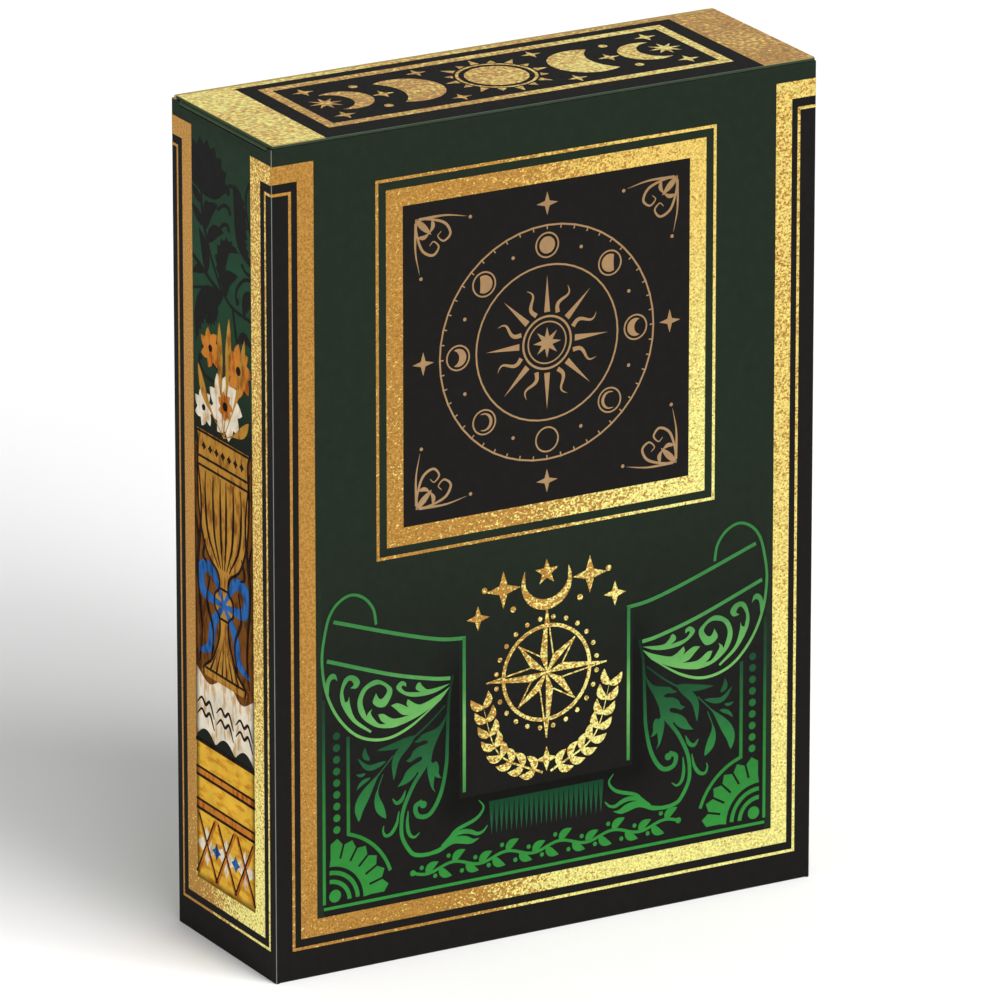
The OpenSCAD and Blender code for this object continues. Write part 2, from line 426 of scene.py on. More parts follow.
class Print:
    """Shapes in one colour on one face, joined into one closed sheet a hair above the board."""

    slot = "printed_board"

    def __init__(self, name, face, material, layer=1, mirrored=False):
        self.name, self.face, self.material = f"{face.name}_{name}", face, material
        self.lift = layer * INK_T
        self.sides = (1, -1) if mirrored else (1,)
        self.corners, self.shapes = [], []

    def fill(self, outline):
        """Add a simple outline, turned anticlockwise."""
        for side in self.sides:
            loop = [Vector((side * p[0], p[1])) for p in outline]
            turn = sum(a.x * b.y - b.x * a.y for a, b in zip(loop, loop[1:] + loop[:1]))
            if abs(turn) > CLOSE:
                first = len(self.corners)
                self.corners += loop if turn > 0 else loop[::-1]
                self.shapes.append(list(range(first, len(self.corners))))

    def area(self, outline, *holes):
        """Filled outline, with any further outlines left open in it."""
        if not holes:
            self.fill(outline)
            return
        loops = [[Vector((*p, 0)) for p in loop] for loop in (outline, *holes)]
        places = [p.xy for loop in loops for p in loop]
        for corners in tessellate_polygon(loops):
            self.fill([places[i] for i in corners])

    def stroke(self, line, width, profile=None):
        """Ribbon along a line, with mitred corners."""
        line = [Vector(p) for p in line]
        ways = [(b - a).normalized() for a, b in zip(line, line[1:])]
        reach = [0.0]
        for a, b in zip(line, line[1:]):
            reach.append(reach[-1] + (b - a).length)
        edges = []
        for i, point in enumerate(line):
            before, after = ways[max(i - 1, 0)], ways[min(i, len(ways) - 1)]
            across = Vector((-before.y - after.y, before.x + after.x)).normalized()
            mitre = max(0.4, across.dot(Vector((-after.y, after.x))))
            half = width / 2 / mitre * (profile(reach[i] / reach[-1]) if profile else 1)
            edges.append((point + across * half, point - across * half))
        for (left, right), (next_left, next_right) in zip(edges, edges[1:]):
            self.fill((left, right, next_right, next_left))

    def strokes(self, profile, *lines):
        """Smooth ribbons of one profile, each from its points and its width."""
        for points, width in lines:
            self.stroke(spline(points), width, profile)

    def ring(self, centre, radius, width, steps=48):
        self.area(circle(centre, radius + width / 2, steps), circle(centre, radius - width / 2, steps))

    def dot(self, centre, radius):
        self.fill(circle(centre, radius, 20))

    def beads(self, centre, radius, count, turn, size):
        """Ring of dots with the first at the turn angle."""
        for i in range(count):
            self.dot(polar(centre, radius, 360 / count * i + turn), size)

    def border(self, half, low, high, width):
        """Frame of an even width inside a box that reaches half to either side."""
        outer = box_outline(-half, low, half, high)
        self.area(outer, box_outline(-half + width, low + width, half - width, high - width))

    def draw(self, *drawings):
        """Let each drawing add its shapes, and raise them into a closed sheet that rides the face's body."""
        for drawing in drawings:
            drawing(self)
        corners, _, faces, _, _, sources = delaunay_2d_cdt(self.corners, [], self.shapes, 1, CLOSE)
        sheet = bmesh.new()
        places = [sheet.verts.new((*corner, -INK_SINK)) for corner in corners]
        for face, source in zip(faces, sources):
            if source:
                sheet.faces.new([places[i] for i in face])
        for vert in list(sheet.verts):
            if vert.link_faces:
                bmesh.utils.vert_separate(vert, ())
            else:
                sheet.verts.remove(vert)
        raised = bmesh.ops.extrude_face_region(sheet, geom=sheet.faces[:], use_keep_orig=True)
        for vert in raised["geom"]:
            if isinstance(vert, bmesh.types.BMVert):
                vert.co.z = self.lift
        for vert in sheet.verts:
            vert.co = self.face.at(*vert.co)
        bmesh.ops.recalc_face_normals(sheet, faces=sheet.faces)
        mesh = bpy.data.meshes.new(self.name)
        sheet.to_mesh(mesh)
        sheet.free()
        mesh.materials.append(self.material)
        made = add(self.name, mesh)
        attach(made, self.face.body)


class Gilding(Print):
    """Print in foil."""

    slot = "foil_board"


# Gold frames

def edge_frame(gold):
    """Rules along both sides and the bottom, whose upper ends turn out over the folds."""
    for rule in gold.face.rules:
        across, top = gold.face.half - rule["inset"], HEIGHT - rule["drop"]
        right = [(u, top) for u in gold.face.edge()]
        left = [(-u, top) for u in reversed(gold.face.edge())]
        corners = [(-across, top), (-across, rule["low"]), (across, rule["low"]), (across, top)]
        gold.stroke([*left, *corners, *right], rule["width"])


WINDOW = {"half": 20.67, "low": 45.4, "high": 87.4, "rule": 0.35, "gap": 1.25, "band": 2.0}
WINDOW_MIDDLE = (0, (WINDOW["low"] + WINDOW["high"]) / 2)


def window_frame(gold):
    """Fine rule and broad band round the window."""
    for inset, width in ((0, WINDOW["rule"]), (WINDOW["gap"], WINDOW["band"])):
        gold.border(WINDOW["half"] - inset, WINDOW["low"] + inset, WINDOW["high"] - inset, width)


def window_field(black):
    rim = WINDOW["gap"] + WINDOW["band"]
    half = WINDOW["half"] - rim
    black.area(box_outline(-half, WINDOW["low"] + rim, half, WINDOW["high"] - rim))


# Green ornament of the large faces, drawn for the left half and mirrored

SWAG_RIM = (
    [(-20.75, 38.4), (-21.1, 40.2), (-22.2, 41.6), (-23.75, 42.2), (-25.3, 41.6), (-26.4, 40.2), (-27, 38),
     (-27.3, 35.3), (-26.8, 31.8), (-25.3, 28.6), (-22.9, 26.2), (-19.8, 25.35), (-16.7, 26.2),
     (-12.9, 28.65)],
    0.32)
SWAG_FOLDS = (
    ([(-25.9, 39.55), (-18, 36.85), (-13, 35.4), (-9.9, 35)], 0.42),
    ([(-26.7, 35.3), (-19, 32.5), (-14, 31.15), (-11.8, 30.8)], 0.42))
CUP_LEAF = cusped(
    (-11.85, 29.85),
    [(-12.9, 28.65), (-14.35, 27.8), (-16, 27.1), (-17.85, 26.6), (-19.2, 26.5), (-20.9, 26.95),
     (-22.5, 28.25), (-23.05, 29.9), (-22.4, 31.5), (-20.75, 32.2), (-19.15, 31.25), (-18.85, 30.4),
     (-19.5, 29.2), (-20.15, 29), (-20.8, 29.25), (-21.2, 29.8), (-20.8, 30.7)],
    [(-20.4, 30), (-19.9, 30.05), (-19.45, 30.75), (-19.9, 31.4), (-20.7, 31.65), (-21.9, 31.25),
     (-22.45, 30), (-21.95, 28.25)],
    [(-21.75, 28.65), (-21.3, 29)],
    [(-21.4, 28.4), (-20.5, 27.25), (-19.65, 27.05)],
    [(-20.2, 27.5), (-20.55, 28.25)],
    [(-19.9, 28.2), (-18.65, 27.45), (-16.8, 27.5)],
    [(-17.65, 27.75), (-18.35, 28.4), (-19, 29)],
    [(-18.15, 29.1), (-16.85, 28.4)],
    [(-17.1, 28.85), (-16.95, 29.35)],
    [(-15.85, 28.6), (-15, 28.55), (-13, 29.25), (-11.85, 29.85)])
CUP_BUD = cusped(
    (-11.85, 30.2),
    [(-13.35, 29.6), (-15, 29.4), (-16.65, 29.6), (-17.85, 30.25), (-18.35, 30.95), (-17.75, 31.5),
     (-17.2, 31.25), (-17.15, 30.8)],
    [(-17.55, 31), (-17.7, 30.75), (-17.1, 30.2), (-15.35, 29.85)],
    [(-15.95, 30.3), (-15.9, 30.75), (-15.5, 31), (-15.1, 30.45), (-14.3, 30), (-11.85, 30.2)])
CUP_STRAND = cusped(
    (-21.5, 26.35),
    [(-23.5, 27.85), (-24.8, 29.75), (-25.15, 31.2), (-24.75, 32.75), (-24.05, 33.25), (-23.2, 33),
     (-22.75, 32.3), (-23.15, 31.7), (-23.9, 31.8)],
    [(-23.5, 32.1), (-23.75, 32.6), (-24.2, 32.6), (-24.75, 31.6), (-24.55, 30.3)],
    [(-24.2, 30.45), (-24.05, 30.9)],
    [(-23.9, 29.8), (-23.25, 28.2), (-21.35, 26.55)],
    [(-21.5, 26.35)])
CUP_HOOK = cusped(
    (-26.95, 31.8),
    [(-26.9, 32.6), (-26.65, 33.4), (-26.15, 33.8), (-25.65, 33.6), (-25.45, 32.85)],
    [(-25.75, 33.15), (-26.1, 33.15), (-26.4, 32.7), (-26.55, 31.3)],
    [(-26.95, 31.8)])


def swag(green):
    """Hanging cloth with a curled end and a cup of scrolls under it."""
    green.strokes(fading, SWAG_RIM)
    green.strokes(None, *SWAG_FOLDS)
    for outline in (CUP_LEAF, CUP_BUD, CUP_STRAND, CUP_HOOK):
        green.area(outline)


TAB_EDGE = ([(-10.1, 35.1), (-10.1, 17.6)], 0.38)


def tab_edges(green):
    """Upright rules beside the middle."""
    green.stroke(*TAB_EDGE)


ACANTHUS = cusped(
    (-12.05, 27.3),
    [(-12.5, 25.8), (-13.3, 24.35), (-13.9, 23), (-14.1, 22)],
    [(-14.8, 21.3), (-15.5, 20.5), (-15.75, 21)],
    [(-16.35, 20.3), (-17.2, 19.85), (-18.25, 19.65)],
    [(-17.65, 20.35), (-17.15, 21.2), (-16.35, 21.75), (-15.45, 22.1), (-15.2, 22.4)],
    [(-15.35, 22.6), (-15.95, 22.5), (-16.65, 22.2), (-17.2, 22.4)],
    [(-16.65, 22.75), (-16.3, 23.35), (-15.65, 23.75), (-14.8, 23.9), (-14.45, 24.15)],
    [(-15, 24.35), (-15.65, 24.25), (-16.2, 24.35)],
    [(-15.65, 24.65), (-15.15, 25.05), (-13.5, 25.45), (-12.65, 26.2), (-12.05, 27.3)])
SIDE_LEAF = cusped(
    (-14.3, 22.2),
    [(-14.6, 21.1), (-14.45, 20), (-14.1, 18.85), (-13.6, 18.2)],
    [(-13.85, 18.9), (-13.7, 20.1)],
    [(-13.4, 19.85), (-12.9, 19.7)],
    [(-13.2, 20.3), (-13.2, 21.1), (-13.5, 21.7), (-13.95, 21.6), (-14.3, 22.2)])
FLAME_LEAF = cusped(
    (-14.45, 11.15),
    [(-13.15, 11.3), (-12, 11.8), (-11.15, 11.95), (-9.45, 11.6), (-8.7, 11.8), (-8.25, 12.05)],
    [(-9, 12.1), (-9.7, 12.5), (-10.45, 12.7), (-11.3, 12.7), (-12.3, 12.25), (-13.1, 11.85),
     (-14.45, 11.55)],
    [(-14.45, 11.15)])
STEM = (
    [(-14.6, 21.7), (-16, 19.95), (-16.85, 18.5), (-17.5, 17), (-17.75, 15.6), (-17.65, 13.8),
     (-16.6, 11.95), (-15.6, 11.45), (-14.4, 11.35)],
    0.45)
TENDRIL = (
    [(-11.45, 31.1), (-11.95, 28.5), (-12.15, 24), (-12.3, 21), (-13, 17.9), (-14.3, 15.9), (-15.7, 15.9),
     (-16.05, 17), (-15.2, 17.5)],
    0.42)
TENDRIL_KNOB = ((-15.1, 17.1), 0.42)
TWIG = ([(-12.4, 27.85), (-14.35, 26.2), (-16.3, 24.85)], 0.2)
TWIG_LEAVES = (
    ([(-15.9, 25.05), (-18.3, 24.4), (-20.7, 24.2)], 0.8),
    ([(-16.2, 24.9), (-18.3, 23), (-18.7, 20.5)], 0.9),
    ([(-21.6, 23.3), (-22.15, 23.9), (-22.15, 24.85)], 0.6),
    ([(-19.6, 22.8), (-21.7, 22.45), (-23.1, 23.75)], 0.62),
    ([(-22.1, 21.85), (-22.7, 21.75), (-23.25, 21.95)], 0.36),
    ([(-21.5, 21.3), (-22.5, 20.9), (-23.2, 20.2)], 0.46))
BUDS = (
    ([(-18.75, 23.3), (-21.2, 20.7), (-22.75, 18.4), (-22.95, 16.6)], 1.3),
    ([(-20, 21.4), (-20.7, 19.4), (-20.45, 17.8), (-19.65, 16.35)], 1.0))
SHOOTS = (
    ([(-17.25, 19.1), (-17.7, 18.15), (-18.35, 17.85), (-18.85, 18.45)], 0.45),
    ([(-18.05, 16.9), (-18.35, 15.5), (-19, 14.55), (-19.7, 14.4), (-20, 15), (-19.9, 15.55)], 0.42),
    ([(-16.95, 16.7), (-17.05, 15.2), (-16.8, 14.05), (-16.2, 13.6), (-15.55, 14)], 0.42),
    ([(-12.9, 11.95), (-11.5, 12.85), (-10.3, 13.15), (-9.3, 12.95), (-8.5, 12.6), (-7.8, 12.75),
     (-7.25, 13.3)], 0.52),
    ([(-12.9, 12), (-11.8, 12.85), (-11, 13.5), (-8.9, 14.2), (-8, 14.9), (-7.75, 15.6), (-8.3, 16.35)],
     0.42))


def hanging_acanthus(green):
    """Stem that falls from the cup's tip, with lobed leaves, buds and tendrils."""
    for outline in (ACANTHUS, SIDE_LEAF, FLAME_LEAF):
        green.area(outline)
    green.strokes(None, STEM)
    green.strokes(growing, TENDRIL)
    green.dot(*TENDRIL_KNOB)
    green.strokes(None, TWIG)
    green.strokes(pointed, *TWIG_LEAVES)
    green.strokes(drop, *BUDS)
    green.strokes(swelling, *SHOOTS)


FAN_CENTRE = (-26.5, 8.0)
FAN = {"foot": 4.1, "slit": 5.0, "shoulder": 6.6, "tip": 7.2}
FAN_PETALS = 6
FAN_DOT = ((-25.85, 8.7), 0.72)
FAN_ARCS, FAN_LINE = (2.4, 3.4), 0.48
SLIT_HALF, SLIT_FOOT_HALF = 1.1, 1.54


def corner_fan(green):
    """Quarter fan of gabled petals round a dot and two arcs."""
    green.dot(*FAN_DOT)
    for radius in FAN_ARCS:
        green.stroke(arc(FAN_CENTRE, radius, 2, 90), FAN_LINE)
    step = 90 / FAN_PETALS
    outline = arc(FAN_CENTRE, FAN["foot"], 90, 0)
    for start in (step * i for i in range(FAN_PETALS)):
        end = start + step
        outline += [polar(FAN_CENTRE, FAN[key], turn) for key, turn in (
            ("slit", start + SLIT_FOOT_HALF), ("shoulder", start + SLIT_HALF), ("tip", start + step / 2),
            ("shoulder", end - SLIT_HALF), ("slit", end - SLIT_FOOT_HALF))]
    green.area(outline)


OUTER_RULE = ([(-27.15, 7.9), (-27.15, 31)], 0.36)
INNER_RULE = ([(-24.2, 26.4), (-24.2, 15.4), *arc(FAN_CENTRE, 7.75, 70, 18)], 0.4)
BEAD_ROW = {"u": -25.6, "low": 16.15, "pitch": 1.32, "count": 9, "radius": 0.43}


def corner_rules(green):
    """Rules with a row of dots between them. The inner one ends in a hollow arc round the fan."""
    green.stroke(*OUTER_RULE)
    green.stroke(*INNER_RULE)
    for i in range(BEAD_ROW["count"]):
        green.dot((BEAD_ROW["u"], BEAD_ROW["low"] + BEAD_ROW["pitch"] * i), BEAD_ROW["radius"])


FRINGE = {"count": 23, "half": 7.05, "top": 16.0, "shoulder": 14.6, "tip": 12.2}


def fringe(green):
    """Row of pointed strips under the middle."""
    pitch = 2 * FRINGE["half"] / FRINGE["count"]
    profile = ((-0.5, "top"), (-0.36, "shoulder"), (0, "tip"), (0.36, "shoulder"), (0.5, "top"))
    for i in range(FRINGE["count"]):
        middle = -FRINGE["half"] + (i + 0.5) * pitch
        green.area([(middle + share * pitch, FRINGE[level]) for share, level in profile])


VINE = {"half": 16.4, "middle": 9.55, "sway": 0.4, "stem": 0.34, "leaf": 0.9, "berry": 0.25}
VINE_WAVES = 5
VINE_LEAF = ((0, 0), (0.55, 0.75), (1.5, 1.15))
VINE_BERRY = (-0.55, 0.8)
BASE_RULE = ([(-27.2, 7.4), (27.2, 7.4)], 0.34)


def vine(green):
    """Running stem with leaves to either side and berries between them, over a rule."""
    half = VINE["half"]

    def height(u):
        return VINE["middle"] + VINE["sway"] * math.sin(math.pi * VINE_WAVES * u / half)

    green.stroke([(-half + half * i / 60, height(-half + half * i / 60)) for i in range(121)], VINE["stem"])
    pitch = half / VINE_WAVES / 2
    for i in range(1, 4 * VINE_WAVES):
        foot = -half + i * pitch
        rise = 1 if i % 2 else -1
        leaf, (berry,) = ([(foot + u, height(foot) + rise * v) for u, v in points]
                          for points in (VINE_LEAF, [VINE_BERRY]))
        green.strokes(pointed, (leaf, VINE["leaf"]))
        green.dot(berry, VINE["berry"])
    for side in (-1, 1):
        green.dot((side * half, height(half)), VINE["stem"])
    green.stroke(*BASE_RULE)


# Gold emblem and fine line work

COMPASS_LINE = 0.16


def compass_star(gold, centre, long_r, short_r, waist):
    """Eight-pointed star; one half of each point is filled and the other is open."""
    for i in range(8):
        turn = 90 + 45 * i
        tip = polar(centre, short_r if i % 2 else long_r, turn)
        gold.area([Vector(centre), tip, polar(centre, waist, turn + 22.5)])
        gold.stroke([tip, polar(centre, waist, turn - 22.5)], COMPASS_LINE)
        gold.stroke([Vector(centre), tip], COMPASS_LINE)


LAUREL_BASE, LAUREL_TIP = (0.5, 18.1), (7.9, 27.2)
LAUREL_BEND = (5.8, (2 * LAUREL_BASE[1] + LAUREL_TIP[1]) / 3)
LAUREL_STEM_WIDTH, LAUREL_LEAF_WIDTH = 0.26, 0.88
LAUREL_PAIRS = 8
LAUREL_LEAF = ((0.6, 0.85), (1.6, 1.15))


def laurel(gold, side):
    """Branch that rises to one side with leaves in pairs."""
    spine = spline(flipped((LAUREL_BASE, LAUREL_BEND, LAUREL_TIP), side), 12)
    gold.stroke(spine, LAUREL_STEM_WIDTH, tapering)
    for i in range(LAUREL_PAIRS):
        step = int((i + 1) * (len(spine) - 2) / LAUREL_PAIRS)
        foot = spine[step]
        ahead = (spine[step + 1] - foot).normalized()
        for turn in (1, -1):
            across = Vector((-ahead.y, ahead.x)) * turn
            leaf = [foot, *(foot + ahead * u + across * v for u, v in LAUREL_LEAF)]
            gold.strokes(pointed, (leaf, LAUREL_LEAF_WIDTH))


EMBLEM = (0, 29.4)


def emblem(gold):
    """Compass star in a ring of dots, with a crescent over it and laurel under it."""
    gold.ring(EMBLEM, radius=5.3, width=0.42)
    gold.beads(EMBLEM, radius=6.2, count=24, turn=7.5, size=0.27)
    compass_star(gold, EMBLEM, long_r=7.4, short_r=4.9, waist=2.1)
    gold.area(crescent((0, 39.6), radius=3.1, bite=1.9, turn=90))
    gold.area(star((0, 40.7), outer=1.5, inner=0.6, points=5))
    for side in (-1, 1):
        gold.area(star((side * 5.3, 39.6), outer=2.1, inner=0.7))
        gold.area(star((side * 8.4, 36.9), outer=1.4, inner=0.5))
        for place in ((side * 4.1, 37.2), (side * 7.6, 39.9)):
            gold.dot(place, radius=0.34)
        laurel(gold, side)
    gold.area(star((0, 19.6), outer=1.4, inner=0.5))


# Places in a corner scroll are counted from the window's corner inwards
SCROLL_CORNER = (15.9, 16.0)
SCROLL_STROKES = (
    ([(0, 0), (2, 0.25), (3.6, 0.9), (4.2, 2.1), (3.4, 2.8), (2.7, 2.2), (3.1, 1.7)], 0.3, swelling),
    ([(0.4, 0.05), (3.5, 0), (6.2, 0.5)], 0.34, tapering),
    ([(2, 0.3), (2.1, 1), (1.7, 1.7)], 0.45, pointed))
SCROLL_HEART = ([(0.1, 0.1), (0.9, 0.9), (1.9, 1.9)], 0.7)
SCROLL_DOT = ((6.6, 0.65), 0.2)


def corner_scroll(line, side, rise):
    """Two coils that grow out of a corner of the window, with leaves in the angle."""
    corner = (side * SCROLL_CORNER[0], WINDOW_MIDDLE[1] + rise * SCROLL_CORNER[1])

    def placed(points, swap=False):
        turned = [(v, u) if swap else (u, v) for u, v in points]
        return [Vector((corner[0] - side * u, corner[1] - rise * v)) for u, v in turned]

    for swap in (False, True):
        for points, width, profile in SCROLL_STROKES:
            line.stroke(placed(spline(points), swap), width, profile)
        place, radius = SCROLL_DOT
        line.dot(*placed([place], swap), radius)
    points, width = SCROLL_HEART
    line.stroke(placed(spline(points)), width, pointed)


def corner_scrolls(line):
    """A scroll in each corner of the window."""
    for side in (-1, 1):
        for rise in (-1, 1):
            corner_scroll(line, side, rise)


SUN = {"foot": 3.4, "wave": 6.5, "ray": 7.4, "sway": 5}


def sun(line):
    """Star in two rings, with straight rays and waved ones."""
    c = WINDOW_MIDDLE
    line.ring(c, radius=2.9, width=0.24)
    line.ring(c, radius=2.3, width=0.16)
    line.area(star(c, outer=1.7, inner=0.7, points=8))
    for i in range(16):
        turn = 22.5 * i
        if i % 2:
            wave = [polar(c, SUN["foot"] + (SUN["wave"] - SUN["foot"]) * s / 16,
                          turn + SUN["sway"] * math.sin(s / 16 * 2 * math.pi)) for s in range(17)]
            line.stroke(wave, width=0.5, profile=tapering)
        else:
            line.area(ray(c, SUN["foot"], SUN["ray"], turn))


ORBITS = (8.6, 13.0)
MARK = {"outer": 12.9, "inner": 12.55, "width": 0.14}
PHASE_ORBIT = 10.8
PHASE_BITES = {1: -0.45, 2: 0.15, 3: 0.65}


def phases(line):
    """The moon's phases between two orbits, with marks along the outer one and stars outside."""
    c = WINDOW_MIDDLE
    for radius in ORBITS:
        line.ring(c, radius, width=0.2)
    for i in range(48):
        line.stroke([polar(c, MARK["inner"], 7.5 * i), polar(c, MARK["outer"], 7.5 * i)], MARK["width"])
    for i in range(8):
        middle = polar(c, PHASE_ORBIT, 90 + 45 * i)
        line.ring(middle, radius=1.35, width=0.18)
        if i == 0:
            line.dot(middle, radius=0.95)
        elif i != 4:
            bite = PHASE_BITES[min(i, 8 - i)]
            line.area(crescent(middle, radius=1.0, bite=bite, turn=0 if i > 4 else 180))
        line.dot(polar(c, PHASE_ORBIT, 112.5 + 45 * i), radius=0.2)
    for side in (-1, 1):
        for place in ((side * 15.0, c[1]), (0, c[1] + side * 15.4)):
            line.area(star(place, outer=1.3, inner=0.4))


def window_star(gold):
    """Large compass star in a beaded ring."""
    c = WINDOW_MIDDLE
    compass_star(gold, c, long_r=14.5, short_r=9.0, waist=3.4)
    gold.ring(c, radius=10.2, width=0.5)
    gold.ring(c, radius=11.4, width=0.22)
    gold.beads(c, radius=10.8, count=32, turn=5.6, size=0.22)


# Side pictures, whose edges lie under the gold frame

LAP, SIDE_DROP = 0.05, 1.5
SIDE_HALF, SIDE_LOW, SIDE_HIGH = PICTURE_HALF + LAP, PICTURE_LOW - LAP, HEIGHT - SIDE_DROP


def damask_ground(shape):
    shape.area(box_outline(-SIDE_HALF, SIDE_LOW, SIDE_HALF, SIDE_HIGH))


def toothed(shape, spine, width, depth=0.4):
    """Leaf that is toothed on the left of its spine and smooth on the right."""
    line = spline(spine, 6)
    left, right = [], []
    for i, point in enumerate(line):
        ahead = (line[min(i + 1, len(line) - 1)] - line[max(i - 1, 0)]).normalized()
        across = Vector((-ahead.y, ahead.x))
        half = width / 2 * math.sin(math.pi * (i / (len(line) - 1)) ** 0.75) + 0.03
        tooth = 1 - i % 2
        left.append(point + across * half * (1 - depth * (1 - tooth)) + ahead * 0.3 * tooth)
        right.append(point - across * half)
    shape.area(left + right[::-1])


THISTLE = (-3.5, 84.6)
THISTLE_NOTCH, THISTLE_TIP = 4.7, 5.5
THISTLE_FOOT = [(0.6, 85), (-1.4, 83.9), (-4.2, 83.9), (-7.6, 85.2)]
DAMASK_STEMS = (
    ([(-4.3, 84.2), (-4.4, 82.9), (-3.9, 80.5), (-2.3, 77.3), (-0.8, 75.2), (0.5, 73.9), (2.7, 72.9),
     (6.5, 72.6)], 0.42),
    ([(0.2, 73.8), (-2, 74.5), (-4.1, 75.5), (-6.5, 76.6)], 0.5),
    ([(0.2, 73.5), (-2.4, 73.9), (-6.5, 72.9)], 0.3),
    ([(2.4, 72.9), (3.2, 69.5), (4.6, 66)], 0.5))
DAMASK_LEAVES = (
    ([(-3.7, 80), (-2.9, 82.2), (-0.8, 83.5)], 1.7),
    ([(-3.2, 78.8), (-1.6, 80.3), (0.5, 80.8)], 1.5),
    ([(-3.3, 75.3), (-3.7, 77.8), (-5, 79.9)], 1.7),
    ([(-3.8, 80.4), (-5, 81.1), (-6.6, 82.2)], 1.2),
    ([(-4.4, 82.8), (-5.2, 83.3), (-6.6, 84.2)], 1.1),
    ([(0.8, 73.8), (1.1, 75.8), (3.5, 76.8)], 1.7),
    ([(-3.9, 75.3), (-5.2, 75.3), (-6.6, 74.6)], 1.0),
    ([(3.4, 69.6), (5, 70.4), (6.5, 69.6)], 1.2))
TOOTHED_LEAVES = (
    ([(0.5, 74.3), (-0.3, 77.4), (1.2, 79.5), (3.7, 79.4)], 2.5),
    ([(3, 86.9), (4.3, 84), (4.6, 80.6), (6.8, 78.4)], 3.0),
    ([(0.2, 73.3), (-3, 72.4), (-5, 70.2), (-5.9, 67.2)], 3.2),
    ([(-0.9, 72.4), (-2.2, 70.8), (-3.6, 69.8)], 2.0),
    ([(-1.3, 65), (-2.2, 67.2), (-4.6, 66.9)], 2.8),
    ([(6.9, 75.6), (5.4, 74.4), (4.7, 72.6)], 1.9))
DAMASK_HOOKS = (
    ([(-0.9, 82.9), (0.6, 83.8), (1.7, 83.7), (1.9, 83.3)], 0.3),
    ([(-0.7, 80.6), (0.4, 81.6), (1.4, 81.8), (1.6, 81.4)], 0.3),
    ([(-3.8, 80.6), (-3.8, 82.3), (-3.3, 83.1), (-2.8, 82.9)], 0.25),
    ([(3.4, 84.4), (2.8, 86.2), (1.8, 86.2), (1.5, 85.5)], 0.45),
    ([(6.4, 82.2), (5.6, 84.2), (5.5, 86.2), (6.2, 87.6)], 0.2),
    ([(6.8, 77.6), (5.4, 77.7), (4.6, 78.2)], 0.3),
    ([(6.8, 77.2), (5, 76.8), (3.5, 75.6), (3.1, 74.5), (3.4, 74)], 0.42),
    ([(-1.6, 63.6), (-4, 63.9), (-5.2, 65), (-5, 65.6)], 0.4))


def damask(shape):
    """Thistle on a forked stem among plain leaves, toothed leaves and hooks that end in a bulb."""
    crown = [polar(THISTLE, THISTLE_TIP if i % 2 else THISTLE_NOTCH, 184 - 9 * i) for i in range(20)]
    shape.area([*crown, *spline(THISTLE_FOOT)])
    shape.strokes(None, *DAMASK_STEMS)
    shape.strokes(pointed, *DAMASK_LEAVES)
    for spine, width in TOOTHED_LEAVES:
        toothed(shape, spine, width)
    for line, bulb in DAMASK_HOOKS:
        shape.stroke(spline(line), width=0.42)
        shape.dot(line[-1], bulb)


PLINTH_TOP = 22.4
MOULDINGS = ((14.6, 15.6), (18.4, 19.3))
MOULDING_LINES = (0.3, 0.22)
TILES = (-4.3, 0.0, 4.3)
TILE_STRAP = [(-2.05, 7.2), (2.05, 14.2)]
TILE_MIDDLE = 10.7
DRAPE_TOP = [(-SIDE_HALF, 56.4), (-3.4, 53.6), (0, 55.6), (3, 54), (SIDE_HALF, 58)]
CLOTH_TOP = [(-SIDE_HALF, 30.8), (-3.4, 29.4), (0.4, 31), (3.6, 29.2), (SIDE_HALF, 30.4)]
HEM_LOW, HEM_RISE, HEM_WAVES = 22.8, 1.2, 3
BLOOMS = {"middle": (0.6, 61.6), "left": (-4.2, 60.2), "right": (3.6, 66.4), "top": (-2.6, 67.2)}
WHITE_BLOOMS = (("middle", 3.7, 9, 2.2), ("left", 2.2, 7, 1.3))
ORANGE_BLOOMS = (("right", 3.0, 8, 1.7), ("top", 2.3, 7, 1.3), ("middle", 1.7, 7, 1.0))
BLOOM_EYES = {"middle": 0.5, "right": 0.5, "top": 0.4, "left": 0.35}
PETAL = ((0.12, 0), (0.6, 7), (1, 0))
STALK_FOOT, STALK_BEND, STALK_LEAF = (0.2, 58), 0.7, 1.2
STALK_TIPS = ((-5.4, 64.8), (5.8, 61.2), (1.6, 71.6), (5.0, 70.2), (-0.6, 70.6))
CUP = [(0, 30.2), (4.6, 30.3), (4.5, 31.2), (2.6, 32.6), (1.1, 35.4), (1, 37.6), (2, 38.6), (2, 40), (1, 41),
       (1.3, 42.6), (3.6, 44.2), (5.2, 47.6), (5.7, 52), (5.5, 56.2), (6, 57.6)]
CUP_STEM = 8
CUP_RIB_SHARES = (0.12, 0.42, 0.74)
FOOT_RIB = [(4.4, 31), (1.6, 34.2)]
CUP_STARS, CUP_STAR_PITCH, CUP_STAR_LEVEL = 7, 1.4, 55.9
CUP_RIB = [(1.6, 43.2), (4.6, 46.4), (5.4, 50.2), (5.3, 53.2)]
CUP_BANDS = ((53.6, 5.6), (54.6, 5.5), (57.4, 5.9), (41.0, 1.1), (37.6, 1.1), (31.1, 4.3))
RIBBON = (
    ([(0, 39.4), (2.6, 42.4), (5, 42), (4.4, 39.6), (0, 39.2)], 1.5),
    ([(0, 39.2), (2.4, 36.6), (3.2, 33.8), (5.6, 32.6)], 1.4))
DRAPE_LINES = (
    [(5.9, 55.6), (4.9, 49), (5.8, 42), (5, 35), (5.6, 31.4)],
    [(4, 45.6), (4.6, 43.6), (3.6, 43)],
    [(3.2, 41.6), (3.8, 38.6), (2.4, 35.6), (3, 32)],
    [(6.2, 47.6), (5.6, 45), (6.1, 42.4)])
